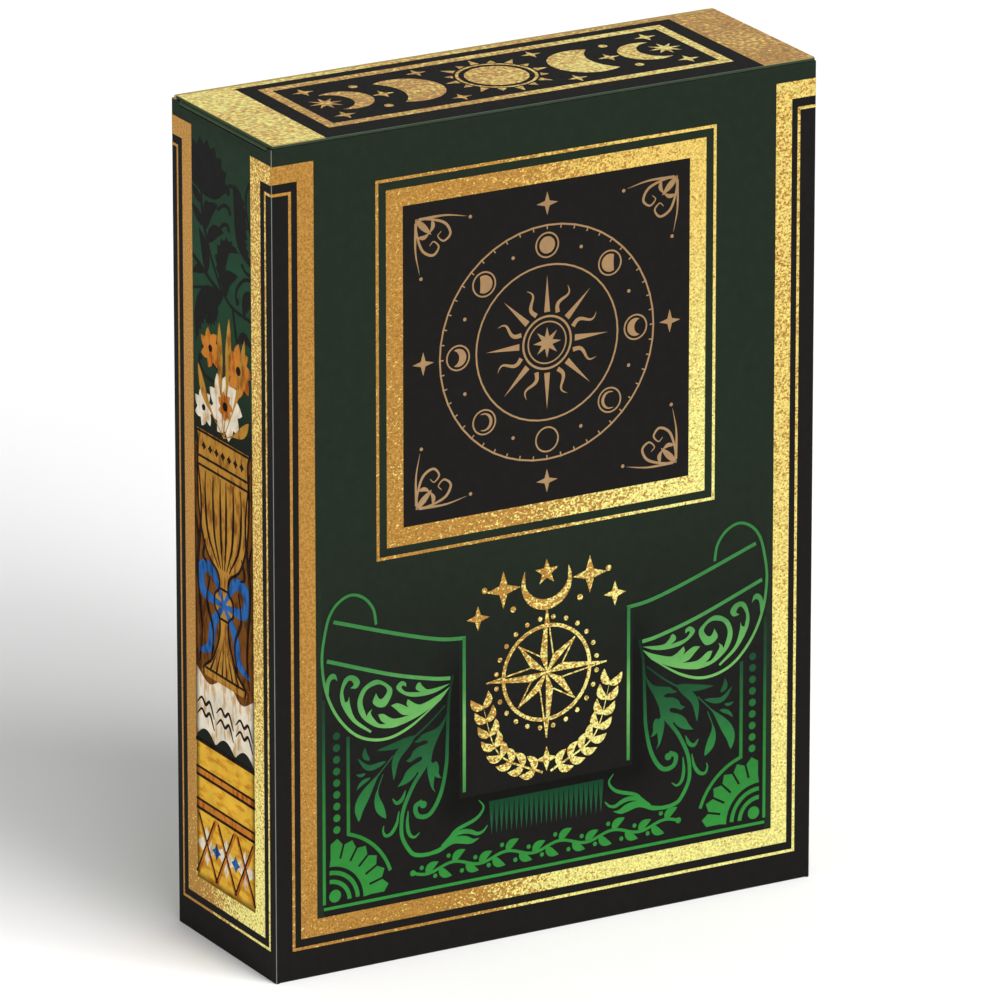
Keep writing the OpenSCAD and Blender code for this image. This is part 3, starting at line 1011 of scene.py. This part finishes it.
CLOTH_WAVE = ((-1.9, -0.3), (-0.9, 0.5), (0, -0.1), (0.9, 0.4), (1.9, -1.2))
CLOTH_WAVE_LEVELS = (25.6, 26.9)
TILE_LINE = [(-2.3, 7.2), (1.7, 14)]


def petals(shape, blooms):
    """Flowers, each from its name, its radius, and its petals' count and width."""
    for name, radius, count, width in blooms:
        for i in range(count):
            petal = [polar(BLOOMS[name], radius * share, 360 * i / count + turn) for share, turn in PETAL]
            shape.strokes(pointed, (petal, width))


def plinth(shape):
    shape.area(box_outline(-SIDE_HALF, SIDE_LOW, SIDE_HALF, PLINTH_TOP))


def drape(shape):
    shape.area([*spline(DRAPE_TOP), *spline(CLOTH_TOP[::-1])])


def cloth(shape):
    """Cloth with a scalloped hem, stars on the tiles and white flowers."""
    hem = [(SIDE_HALF * (1 - i / 20), HEM_LOW + HEM_RISE * abs(math.sin(i / 40 * HEM_WAVES * math.pi)))
           for i in range(41)]
    shape.area([*spline(CLOTH_TOP), *hem])
    for middle in TILES:
        shape.area(star((middle, TILE_MIDDLE), outer=2.3, inner=1.2))
    petals(shape, WHITE_BLOOMS)


def straps(shape):
    """Crossed straps on the plinth's tiles, its mouldings, and orange flowers."""
    for middle in TILES:
        for lean in (-1, 1):
            shape.stroke([(middle + lean * u, v) for u, v in TILE_STRAP], width=0.5)
    for low, high in MOULDINGS:
        shape.area(box_outline(-SIDE_HALF, low, SIDE_HALF, high))
    petals(shape, ORANGE_BLOOMS)


def cup(shape):
    """Turned cup with stalks that rise out of it."""
    right = [*spline(CUP[:CUP_STEM], 5), *spline(CUP[CUP_STEM:], 6), (0, CUP[-1][1])]
    shape.area([*right, *flipped(reversed(right), -1)])
    for tip in STALK_TIPS:
        bend = (tip[0] * STALK_BEND, (STALK_FOOT[1] + tip[1]) / 2)
        shape.strokes(drop, ([STALK_FOOT, bend, tip], STALK_LEAF))


def ribbon(shape):
    """Bow with two tails, and small stars between the tiles."""
    for side in (-1, 1):
        shape.strokes(swelling, *((flipped(line, side), width) for line, width in RIBBON))
    for left, right in zip(TILES, TILES[1:]):
        shape.area(star(((left + right) / 2, TILE_MIDDLE), outer=0.95, inner=0.5))


def cup_lines(shape):
    """Outlines, ribs and mouldings of the cup."""
    for side in (-1, 1):
        shape.stroke(flipped(spline(CUP[1:], 6), side), width=0.3)
        for share in CUP_RIB_SHARES:
            shape.stroke(flipped(spline(CUP_RIB), side * share), width=0.42, profile=swelling)
            shape.stroke(flipped(FOOT_RIB, side * share), width=0.32, profile=tapering)
    for level, half in CUP_BANDS:
        shape.stroke([(-half, level), (half, level)], width=0.26)
    for i in range(CUP_STARS):
        place = ((i - CUP_STARS // 2) * CUP_STAR_PITCH, CUP_STAR_LEVEL)
        shape.area(star(place, outer=0.5, inner=0.3))


def cloth_lines(shape):
    """Pen strokes on the hanging drape, the cloth, the tiles and the plinth, and the flowers' eyes."""
    for side in (-1, 1):
        for line in DRAPE_LINES:
            shape.stroke(spline(flipped(line, side)), width=0.42, profile=swelling)
    for middle in TILES:
        for level in CLOTH_WAVE_LEVELS:
            wave = [(middle + u, level + v) for u, v in CLOTH_WAVE]
            shape.stroke(spline(wave), width=0.34, profile=swelling)
        for lean in (-1, 1):
            shape.stroke([(middle + lean * u, v) for u, v in TILE_LINE], width=0.2)
    for edges in MOULDINGS:
        for level, width in zip(edges, MOULDING_LINES):
            shape.stroke([(-SIDE_HALF, level), (SIDE_HALF, level)], width)
    shape.stroke([(-SIDE_HALF, PLINTH_TOP), (SIDE_HALF, PLINTH_TOP)], width=0.4)
    for name, radius in BLOOM_EYES.items():
        shape.dot(BLOOMS[name], radius)


# Each print of the picture: its layer, its paint as for brushed, and its drawings
SIDE_PRINTS = {
    "plinth": (2, ("#EDBB3F", "#D38F2A", (0.3, 0.3, 1)), (plinth,)),
    "drape": (2, ("#7C4C1D", "#4E2C12"), (drape,)),
    "cloth": (3, ("#F0E6CF", "#D2AC7C"), (cloth,)),
    "tile_straps": (4, ("#CF8130", "#A4531C"), (straps,)),
    "cup": (5, ("#BE8A38", "#8A5622"), (cup,)),
    "ribbon": (6, ("#2F69AE", "#1F4478"), (ribbon,)),
    "picture_lines": (7, ("#2B2019", "#181310"), (cup_lines, cloth_lines))}


# The faces

def side_face(face):
    """Frame of a narrow face, bright towards the back, and a cup of flowers under damask leaves."""
    shine = foil(f"{face.name}_foil", -Y, -10, 7, head=(6, 40, 2.1, 0.75))
    Gilding("gold_frame", face, shine, 3).draw(edge_frame)
    green = ink(f"{face.name}_damask_green", Z, SIDE_LOW, HEIGHT, (0.0, "#232423"), (0.6, "#22261F"),
                (0.72, "#27432F"), (0.82, "#2A4A36"), (1.0, "#2B352A"))
    Print("damask_ground", face, green, 1).draw(damask_ground)
    black = ink(f"{face.name}_damask_black", Z, 60, HEIGHT, (0, "#232221"), (1, "#262525"))
    Print("damask_leaves", face, black, 2).draw(damask)
    for name, (layer, paint, drawings) in SIDE_PRINTS.items():
        Print(name, face, brushed(f"{face.name}_{name}_paint", *paint), layer).draw(*drawings)


# Heights between which each green changes, and its colours from the lower to the upper
GREENS = {
    "corner": (7, 31, (0.0, "#3FA046"), (0.45, "#37893F"), (0.8, "#27573A"), (1.0, "#2A3D2E")),
    "swag": (25, 43, (0.0, "#82CA6C"), (0.25, "#6DB865"), (0.5, "#4C9653"), (1.0, "#3F8A49")),
    "tab": (17, 36, (0.0, "#3E9247"), (0.45, "#84C86F"), (0.65, "#4E9A55"), (1.0, "#377A41")),
    "leaf": (11, 30, (0.0, "#40A148"), (0.35, "#3A8C48"), (0.6, "#2F6B41"), (0.85, "#214B30"),
             (1.0, "#22382A")),
    "fringe": (12, 16, (0, "#2D6E47"), (1, "#1F4A31"))}


def large_face(face, window):
    """Frame, window, green ornament and emblem of a large face."""
    shine = foil(f"{face.name}_foil", face.right, -16.5, 9.5, full=2.9, head=(0, 64, 1.8, 0.72))
    Gilding("gold_frame", face, shine, 2).draw(edge_frame)
    shine = foil(f"{face.name}_window_foil", face.right, -18.5, 26.5, full=2.9, head=(50, 84, 0.0, 0.6))
    Gilding("window_frame", face, shine, 2).draw(window_frame)
    black = coated(Finish(f"{face.name}_window_black"), BLACK)
    Print("window_field", face, black).draw(window_field)
    window(face)
    greens = {name: ink(f"{face.name}_{name}_green", Z, *shades) for name, shades in GREENS.items()}
    Print("corner_fans", face, greens["corner"], mirrored=True).draw(corner_fan, corner_rules)
    Print("base_vine", face, greens["corner"], 2).draw(vine)
    Print("swags", face, greens["swag"], 2, mirrored=True).draw(swag)
    Print("tab_edges", face, greens["tab"], 3, mirrored=True).draw(tab_edges)
    Print("acanthus", face, greens["leaf"], mirrored=True).draw(hanging_acanthus)
    Print("fringe", face, greens["fringe"]).draw(fringe)
    shine = foil(f"{face.name}_emblem_foil", face.right * 0.85 - Z * 0.5, -27, -3, dull=-0.9, full=1.9)
    Gilding("emblem", face, shine, 2).draw(emblem)


WINDOW_TAN = (45, 90, (0, "#BE9A70"), (1, "#B58F64"))


def back_window(face):
    tan = ink("window_tan", Z, *WINDOW_TAN)
    Print("window_lines", face, tan, 2).draw(sun, phases, corner_scrolls)


def front_window(face):
    Gilding("window_star", face, foil("front_window_foil", -X, -14, 14), 2).draw(window_star, corner_scrolls)


CREASE_SKIN = (0.9, 0.37)


def crease_skin(green):
    """Strip that runs on over the slit under the lid's fold."""
    low, high = (HEIGHT - depth for depth in CREASE_SKIN)
    green.area(box_outline(-LID_HALF, low, LID_HALF, high))


LID_END = 6.5
LID_STRIP = 20.0
LID_GAP = 0.04
LID_FRAME = {"half": 24.5, "low": 2.95, "high": 18.6, "width": 1.15}


def gold_ends(gold):
    """Both ends of the lid and the strip along its front."""
    front = LID_FRONT + DEPTH / 2 - LID_GAP
    inner = WIDTH / 2 - LID_END
    for side in (-1, 1):
        left, right = sorted((side * inner, side * LID_HALF))
        gold.area(box_outline(left, FOLD_R, right, front))
    gold.area(box_outline(-inner, LID_STRIP, inner, front))


def moon_row(gold):
    """Framed row of a sun between moons and stars."""
    gold.border(**LID_FRAME)
    middle = (LID_FRAME["low"] + LID_FRAME["high"]) / 2
    gold.dot((0, middle), radius=3.5)
    gold.ring((0, middle), radius=4.25, width=0.35)
    for i in range(16):
        gold.area(ray((0, middle), foot=4.7, tip=6.2 - 0.6 * (i % 2), turn=22.5 * i))
    for side in (-1, 1):
        hollow = 0 if side > 0 else 180
        gold.area(crescent((side * 10.9, middle), radius=4.2, bite=-0.5, turn=hollow))
        gold.area(crescent((side * 18.4, middle), radius=3.2, bite=0.9, turn=hollow))
        gold.area(star((side * 13.7, middle), outer=1.3, inner=0.45))
        gold.area(star((side * 20.6, middle), outer=1.9, inner=0.7, points=8))
        for rise in (-1, 1):
            gold.dot((side * 15.2, middle + rise * 3.9), radius=0.5)
            gold.area(star((side * 20.8, middle + rise * 4.6), outer=1.3, inner=0.45))
            gold.area(star((side * 7.0, middle + rise * 5.0), outer=1.2, inner=0.4))


BOTTOM_HALF = (WIDTH / 2 - 4, DEPTH / 2 - 3)
BOTTOM_FRAME = {"half": BOTTOM_HALF[0], "low": -BOTTOM_HALF[1], "high": BOTTOM_HALF[1], "width": 0.4}


def bottom_star(gold):
    """Framed compass star on the underside."""
    gold.border(**BOTTOM_FRAME)
    compass_star(gold, (0, 0), long_r=6.0, short_r=3.8, waist=1.5)


def print_faces():
    large_face(BACK, back_window)
    green = ink("crease_green", X, -WIDTH / 2, WIDTH / 2, (0, "#2B352A"), (1, "#2C362B"))
    Print("crease_skin", BACK, green).draw(crease_skin)
    large_face(FRONT, front_window)
    side_face(LEFT)
    side_face(RIGHT)
    ends = foil("lid_end_foil", -X, -30, 30, dull=0.02, full=0.72, glint=3.3, coarse=1.8)
    Gilding("gold_ends", TOP, ends).draw(gold_ends)
    row = foil("lid_row_foil", X, -24, 30, dull=0.1, full=0.75, glint=3.3, coarse=1.6)
    Gilding("moon_row", TOP, row).draw(moon_row)
    Gilding("gold_frame", BOTTOM, foil("bottom_foil", X, -30, 30)).draw(bottom_star)


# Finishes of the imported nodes. Each pair is where a colour starts and where it is full.

SKIN = (0.12, 0.16)
UP = (0.3, 0.6)
SHARP = 0.1
# Fold line of the walls, partly crease wear and partly painted highlight: where it starts and is full, and
# its strength
WALL_FOLD, WALL_WEAR_AND_HIGHLIGHT = (0.11, 0.08), 0.75
LARGE_FACE = (0.22, 0.2)
FIELD = {"inset": (3.9, 4.0), "low": (5.5, 5.6), "margin": (6.0, 5.6), "fade": (20, 52)}
TAB_HALF, TAB_LOW = 10.7, 16.9
TAB_SHADOW = {"half": 15, "low": 12.5, "high": (38, 28), "depth": 0.6}
FRONT_RIM = (10, 10.2)


def tab_shadow(finish, inset_x, height):
    """Soft shadow round the middle tab and none on it."""
    edge = WIDTH / 2 - TAB_HALF
    near = finish.times(finish.share(inset_x, WIDTH / 2 - TAB_SHADOW["half"], edge),
                        finish.share(height, TAB_SHADOW["low"], TAB_LOW),
                        finish.share(height, *TAB_SHADOW["high"]))
    tab = finish.times(finish.share(inset_x, edge, edge + SHARP),
                       finish.share(height, TAB_LOW, TAB_LOW + SHARP))
    return finish.times(near, TAB_SHADOW["depth"], finish.math("SUBTRACT", 1.0, tab))


def wall_finish():
    """Printed board of the four walls: dark print outside, pale board inside, and on the folds a light line
    that is partly wear and partly painted highlight.
    """
    finish = Finish("wall_print")
    inset_x, inset_y, height = finish.inset(X, WIDTH / 2), finish.inset(Y, DEPTH / 2), finish.along(Z)
    cut = finish.share(finish.faces(Z), *UP)
    inside = finish.times(finish.share(finish.math("MINIMUM", inset_x, inset_y), *SKIN),
                          finish.math("SUBTRACT", 1.0, cut))
    large = finish.share(inset_y, *LARGE_FACE)
    field = finish.times(large, finish.share(inset_x, *FIELD["inset"]), finish.share(height, *FIELD["low"]))
    fade = finish.math("MAXIMUM", finish.share(height, *FIELD["fade"]),
                       finish.share(inset_x, *FIELD["margin"]))
    head = finish.share(height, HEIGHT - BAND["drop"] - SHARP, HEIGHT - BAND["drop"])
    colour = finish.mix(finish.math("MAXIMUM", finish.times(field, fade), head), BLACK, GREEN)
    colour = finish.mix(finish.times(large, tab_shadow(finish, inset_x, height)), colour, TAB_SHADE)
    # Light line along the folds: partly crease wear, partly painted highlight
    fold = finish.share(finish.math("MAXIMUM", inset_x, inset_y), *WALL_FOLD)
    colour = finish.mix(finish.times(fold, WALL_WEAR_AND_HIGHLIGHT), colour, FOLD_WEAR_AND_HIGHLIGHT)
    colour = finish.mix(finish.times(cut, finish.share(finish.along(Y), *FRONT_RIM)), colour, FOIL_EDGE)
    return coated(finish, finish.mix(inside, colour, PALE_BOARD))


LID_EDGE = (0.1, 0.05)
# Fold line of the lid, partly crease wear and partly painted highlight: where it starts and is full, and its
# strength
LID_FOLD, LID_WEAR_AND_HIGHLIGHT = (0.1, 0.07), 0.4
LID_TIP = (0.01, 0.005)
LID_GILT = (LID_END - 0.2, LID_END - 0.3)


def lid_finish():
    """Black top, green fold and ends in a green lightened as painted light against their shade, a light fold
    line that is partly wear and partly painted highlight, pale underside.
    """
    finish = Finish("lid_print")
    below = finish.math("SUBTRACT", HEIGHT, finish.along(Z))
    behind = finish.math("ADD", finish.along(Y), DEPTH / 2)
    end = finish.inset(X, LID_HALF)
    under = finish.times(finish.share(below, *SKIN), finish.share(end, *LID_TIP[::-1]),
                         finish.share(behind, *SKIN))
    side = finish.math("MAXIMUM", finish.share(behind, *LID_EDGE), finish.share(end, *LID_TIP))
    gilt = finish.times(finish.share(end, *LID_GILT), finish.share(below, *LID_EDGE))
    # Green on the lid's fold edge and ends is lightened as painted light against their shade
    colour = finish.mix(gilt, finish.mix(side, BLACK, LIGHTENED_EDGE_GREEN), FOIL_EDGE)
    # Light line on the hinge fold: partly crease wear, partly painted highlight
    fold = finish.share(finish.math("MAXIMUM", below, behind), *LID_FOLD)
    colour = finish.mix(finish.times(fold, LID_WEAR_AND_HIGHLIGHT), colour, FOLD_WEAR_AND_HIGHLIGHT)
    return coated(finish, finish.mix(under, colour, PALE_BOARD))


FLAP_FRONT = (0.1, 0.3)
FLAP_HEAD = (HEIGHT - BOARD * 0.8, HEIGHT - BOARD * 0.6)


def flap_finish():
    """Tuck flap: green outside with a gold head, pale inside."""
    finish = Finish("flap_print")
    colour = finish.mix(finish.share(finish.faces(Y), *FLAP_FRONT), PALE_BOARD, GREEN)
    return coated(finish, finish.mix(finish.share(finish.along(Z), *FLAP_HEAD), colour, FOIL_EDGE))


DUST_PRINT = (3.2, 3.1)
DUST_RAGGED = 0.15
DUST_SIDES = (-0.97, -0.9)


def dust_finish():
    """Dust flap: pale board with print over the fold and a little way in, in a green made lighter as painted
    light against the fold's shade.
    """
    finish = Finish("dust_board")
    edge = finish.math("ADD", finish.inset(X, WIDTH / 2), finish.times(finish.noise(scale=1500), DUST_RAGGED))
    printed = finish.times(finish.share(edge, *DUST_PRINT), finish.share(finish.faces(Z), *DUST_SIDES))
    # The print on the fold is lightened as painted light against its shade
    return coated(finish, finish.mix(printed, PALE_BOARD, LIGHTENED_EDGE_GREEN))


def plain_board_finish():
    """Grey-white uncoated board with visible fibres."""
    finish = Finish("plain_board", roughness=0.8, specular=0.1)
    fibre = finish.noise(scale=1800, detail=4, stretch=(1, 1, 0.3))
    finish.paint(finish.vary(PALE_BOARD, fibre, low=0.9, high=1.05))
    finish.relief(fibre, depth=0.01)
    return finish.material


def bottom_finish():
    """Black print under the carton, pale above."""
    finish = Finish("bottom_print")
    return coated(finish, finish.mix(finish.share(finish.faces(Z), *UP), BLACK, PALE_BOARD))


COLUMN_INNER, COLUMN_OUTER = (2, 2.4), (27, 26.6)
RULING, RULED, RULE_GAPS = 90.0, (0.7, 0.85), (0.4, 0.5)
RULE_STRENGTH = 0.35
PAPER, RULE_GREY = srgb("#F2F0E8"), srgb("#8D8A84")


def leaflet_finish():
    """White paper with faint grey rules in two columns."""
    finish = Finish("leaflet_paper", roughness=0.75)
    inputs = {"Vector": finish.place, "Scale": RULING}
    ruling = finish.node("ShaderNodeTexWave", inputs, bands_direction="Z").outputs["Fac"]
    across = finish.math("ABSOLUTE", finish.along(X))
    gaps = finish.share(finish.noise(scale=700, stretch=(1, 1, 0.2)), *RULE_GAPS)
    marks = finish.times(finish.share(ruling, *RULED), finish.share(across, *COLUMN_INNER),
                         finish.share(across, *COLUMN_OUTER), gaps)
    paper = finish.vary(PAPER, finish.noise(scale=900, detail=4), low=0.95, high=1.03)
    finish.paint(finish.mix(finish.times(marks, RULE_STRENGTH), paper, RULE_GREY))
    finish.relief(finish.noise(scale=3000, detail=3), depth=0.008)
    return finish.material


CARD_BORDER, CARD_RULE, CARD_SHARP = 3.2, 0.7, 0.05
# Painted shade on the deck's edge where the cards meet: where it starts and is full, and how strong
CARD_GAP_SHADE, CARD_GAP_SHADE_STRENGTH = (0.5, 0.1), 0.45
CARD_BACK, CARD_FRONT = (-0.4, -0.6), (0.4, 0.6)
DIAPER_PITCH, DIAPER_LINE = 2.4, (0.93, 0.97)
# The first colour is the painted shade between the cards
GAP_SHADE_BROWN, DIAPER_GREEN, DIAPER_GOLD = srgb("#7E6B4C"), srgb("#274B34"), srgb("#C39A55")
BACK_RULE, FRONT_FIELD, FRONT_RULE = srgb("#C8984C"), srgb("#E9DDBD"), srgb("#B0803A")
CARD_LOW, CARD_HIGH = (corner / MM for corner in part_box("fool"))
CARD_PITCH = CARD_LOW.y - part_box("magician")[0].y / MM


def card_finish(name, code):
    """Card with cream edges and painted shade between the cards, a bordered diaper back in green and gold,
    and a framed pale front.
    """
    finish = Finish(name, roughness=0.4, specular=0.25)
    middle, half = (CARD_LOW.z + CARD_HIGH.z) / 2, (CARD_HIGH.z - CARD_LOW.z) / 2
    inset = finish.math("MINIMUM", finish.inset(X, CARD_HIGH.x), finish.inset(Z, half, middle))
    inner = finish.share(inset, CARD_BORDER, CARD_BORDER + CARD_SHARP)
    rule_end = CARD_BORDER + CARD_RULE
    rule = finish.times(inner, finish.share(inset, rule_end, rule_end - CARD_SHARP))

    def waves(value, pitch):
        return finish.math("ABSOLUTE", finish.math("SINE", finish.times(value, math.pi / pitch)))

    lattice = finish.math("MAXIMUM", *(waves(finish.along(X + Z * lean), DIAPER_PITCH) for lean in (-1, 1)))
    layer = waves(finish.math("SUBTRACT", finish.along(Y), CARD_LOW.y), CARD_PITCH)
    stock = finish.vary(srgb(code), finish.noise(scale=1200, detail=3), low=0.95, high=1.04)
    # Painted shade: darker brown lines on the deck's edge where one card meets the next
    gap = finish.times(finish.share(layer, *CARD_GAP_SHADE), CARD_GAP_SHADE_STRENGTH)
    diaper = finish.mix(finish.share(lattice, *DIAPER_LINE), DIAPER_GREEN, DIAPER_GOLD)
    reverse = finish.mix(rule, finish.mix(inner, stock, diaper), BACK_RULE)
    front = finish.mix(rule, finish.mix(inner, stock, FRONT_FIELD), FRONT_RULE)
    towards = finish.faces(Y)
    colour = finish.mix(finish.share(towards, *CARD_BACK), finish.mix(gap, stock, GAP_SHADE_BROWN), reverse)
    finish.paint(finish.mix(finish.share(towards, *CARD_FRONT), colour, front))
    finish.relief(finish.noise(scale=2600), depth=0.004)
    return finish.material


SUITS = {"cups": "#EFDCC2", "coins": "#F0E2B8", "swords": "#E3E2D4", "batons": "#E4E6C6"}
TRUMPS = "#EEDFBC"


def dress(names, material):
    """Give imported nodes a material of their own."""
    for name in names:
        materials = frame["nodes"][name].data.materials
        materials.clear()
        materials.append(material)


def dress_nodes():
    dress(("back_panel", "front_panel", "left_side_panel", "right_side_panel"), wall_finish())
    dress(("lid_panel",), lid_finish())
    dress(("tuck_flap",), flap_finish())
    dress(("dust_flap_left", "dust_flap_right"), dust_finish())
    inner_flaps = ("glue_flap", "bottom_inner_flap", "bottom_dust_flap_left", "bottom_dust_flap_right")
    dress(inner_flaps, plain_board_finish())
    dress(("bottom_panel",), bottom_finish())
    dress(("leaflet",), leaflet_finish())
    cards = frame["record"]["behaviour"]["bodies"]["deck"]
    for suit, code in SUITS.items():
        dress([n for n in cards if suit in n], card_finish(f"{suit}_card", code))
    dress([n for n in cards if not any(suit in n for suit in SUITS)], card_finish("trump_card", TRUMPS))


# Camera, floor and light, with angles in degrees and lengths in metres

CAMERA = {"azimuth": -29.565, "elevation": 18.781, "distance": 1.238}
FRAME_SPAN = 107.0 * MM
AIM = Vector((0.46, -0.9, 0)) * MM
WORLD_LIGHT = 0.5
FLOOR_REACH = 15.0
FLOOR_DROP = 0.03 * MM
FLOOR_WHITE = (0.83, 0.83, 0.83, 1)
LAMPS = {"key": {"azimuth": 10, "elevation": 36, "distance": 1.6, "energy": 2.8, "size": 0.5},
         "side_fill": {"azimuth": -95, "elevation": 30, "distance": 1.5, "energy": 1.3, "size": 0.8}}
FLOOR_SUNS = {"left": {"azimuth": -14, "energy": 1.0}, "middle": {"azimuth": 10, "energy": 2.9},
              "right": {"azimuth": 33, "energy": 3.0}}
FLOOR_SUN_ELEVATION, FLOOR_SUN_SPREAD = 18, 24


def look_at_carton(thing, azimuth, elevation, distance, shift=Vector()):
    """Place a camera or a lamp round the carton. Azimuth 0 is straight before the back panel."""
    a, e = math.radians(azimuth), math.radians(elevation)
    back = Vector((math.sin(a) * math.cos(e), -math.cos(a) * math.cos(e), math.sin(e)))
    turn = back.to_track_quat("Z", "Y")
    thing.location = (cad_box[0] + cad_box[1]) / 2 + turn @ shift + back * distance
    thing.rotation_mode = "QUATERNION"
    thing.rotation_quaternion = turn


def make_camera():
    data = bpy.data.cameras.new("camera")
    data.lens = data.sensor_width * CAMERA["distance"] / FRAME_SPAN
    camera = add("camera", data)
    look_at_carton(camera, **CAMERA, shift=AIM)
    bpy.context.scene.camera = camera


def make_world():
    """White that is seen in full by the camera and in reflections, and lights the carton with less."""
    world = bpy.data.worlds.new("studio")
    world.use_nodes = True
    bpy.context.scene.world = world
    nodes = Nodes(world.node_tree)
    rays = nodes.node("ShaderNodeLightPath", {}).outputs
    seen = nodes.math("MAXIMUM", rays["Is Camera Ray"], rays["Is Glossy Ray"])
    seen = nodes.math("MAXIMUM", seen, rays["Is Transmission Ray"])
    strength = nodes.node("ShaderNodeMapRange", {"Value": seen, "To Min": WORLD_LIGHT, "To Max": 1.0})
    background = world.node_tree.nodes["Background"]
    nodes.feed(background.inputs["Color"], (1, 1, 1, 1))
    nodes.feed(background.inputs["Strength"], strength.outputs["Result"])


def make_floor():
    mesh = bpy.data.meshes.new("floor")
    reach, low = FLOOR_REACH, -FLOOR_DROP
    corners = [(-reach, -reach, low), (reach, -reach, low), (reach, reach, low), (-reach, reach, low)]
    mesh.from_pydata(corners, [], [(0, 1, 2, 3)])
    matte = Finish("floor_white", roughness=1.0, specular=0.0)
    matte.paint(FLOOR_WHITE)
    mesh.materials.append(matte.material)
    floor = add("floor", mesh)
    return floor


def make_lamp(name, kind, energy, azimuth, elevation, distance=1.0, **form):
    """Lamp that looks at the carton. form holds an area lamp's size or a sun's angle."""
    data = bpy.data.lights.new(name, kind)
    data.energy = energy
    for key, value in form.items():
        setattr(data, key, value)
    lamp = add(name, data)
    look_at_carton(lamp, azimuth, elevation, distance)
    return lamp


def light_only(lamp, *objects):
    """The lamp lights these objects alone. Everything still throws a shadow in its light."""
    group = bpy.data.collections.new(lamp.name + "_lights")
    for lit in objects:
        group.objects.link(lit)
    lamp.light_linking.receiver_collection = group


def make_stage():
    bpy.context.scene.view_settings.view_transform = "Standard"
    make_camera()
    make_world()
    floor = make_floor()
    for name, settings in LAMPS.items():
        make_lamp(name, "AREA", **settings)
    spread = math.radians(FLOOR_SUN_SPREAD)
    for side, settings in FLOOR_SUNS.items():
        lamp = make_lamp(f"floor_sun_{side}", "SUN", elevation=FLOOR_SUN_ELEVATION, angle=spread, **settings)
        light_only(lamp, floor)


make_stage()
dress_nodes()
print_faces()
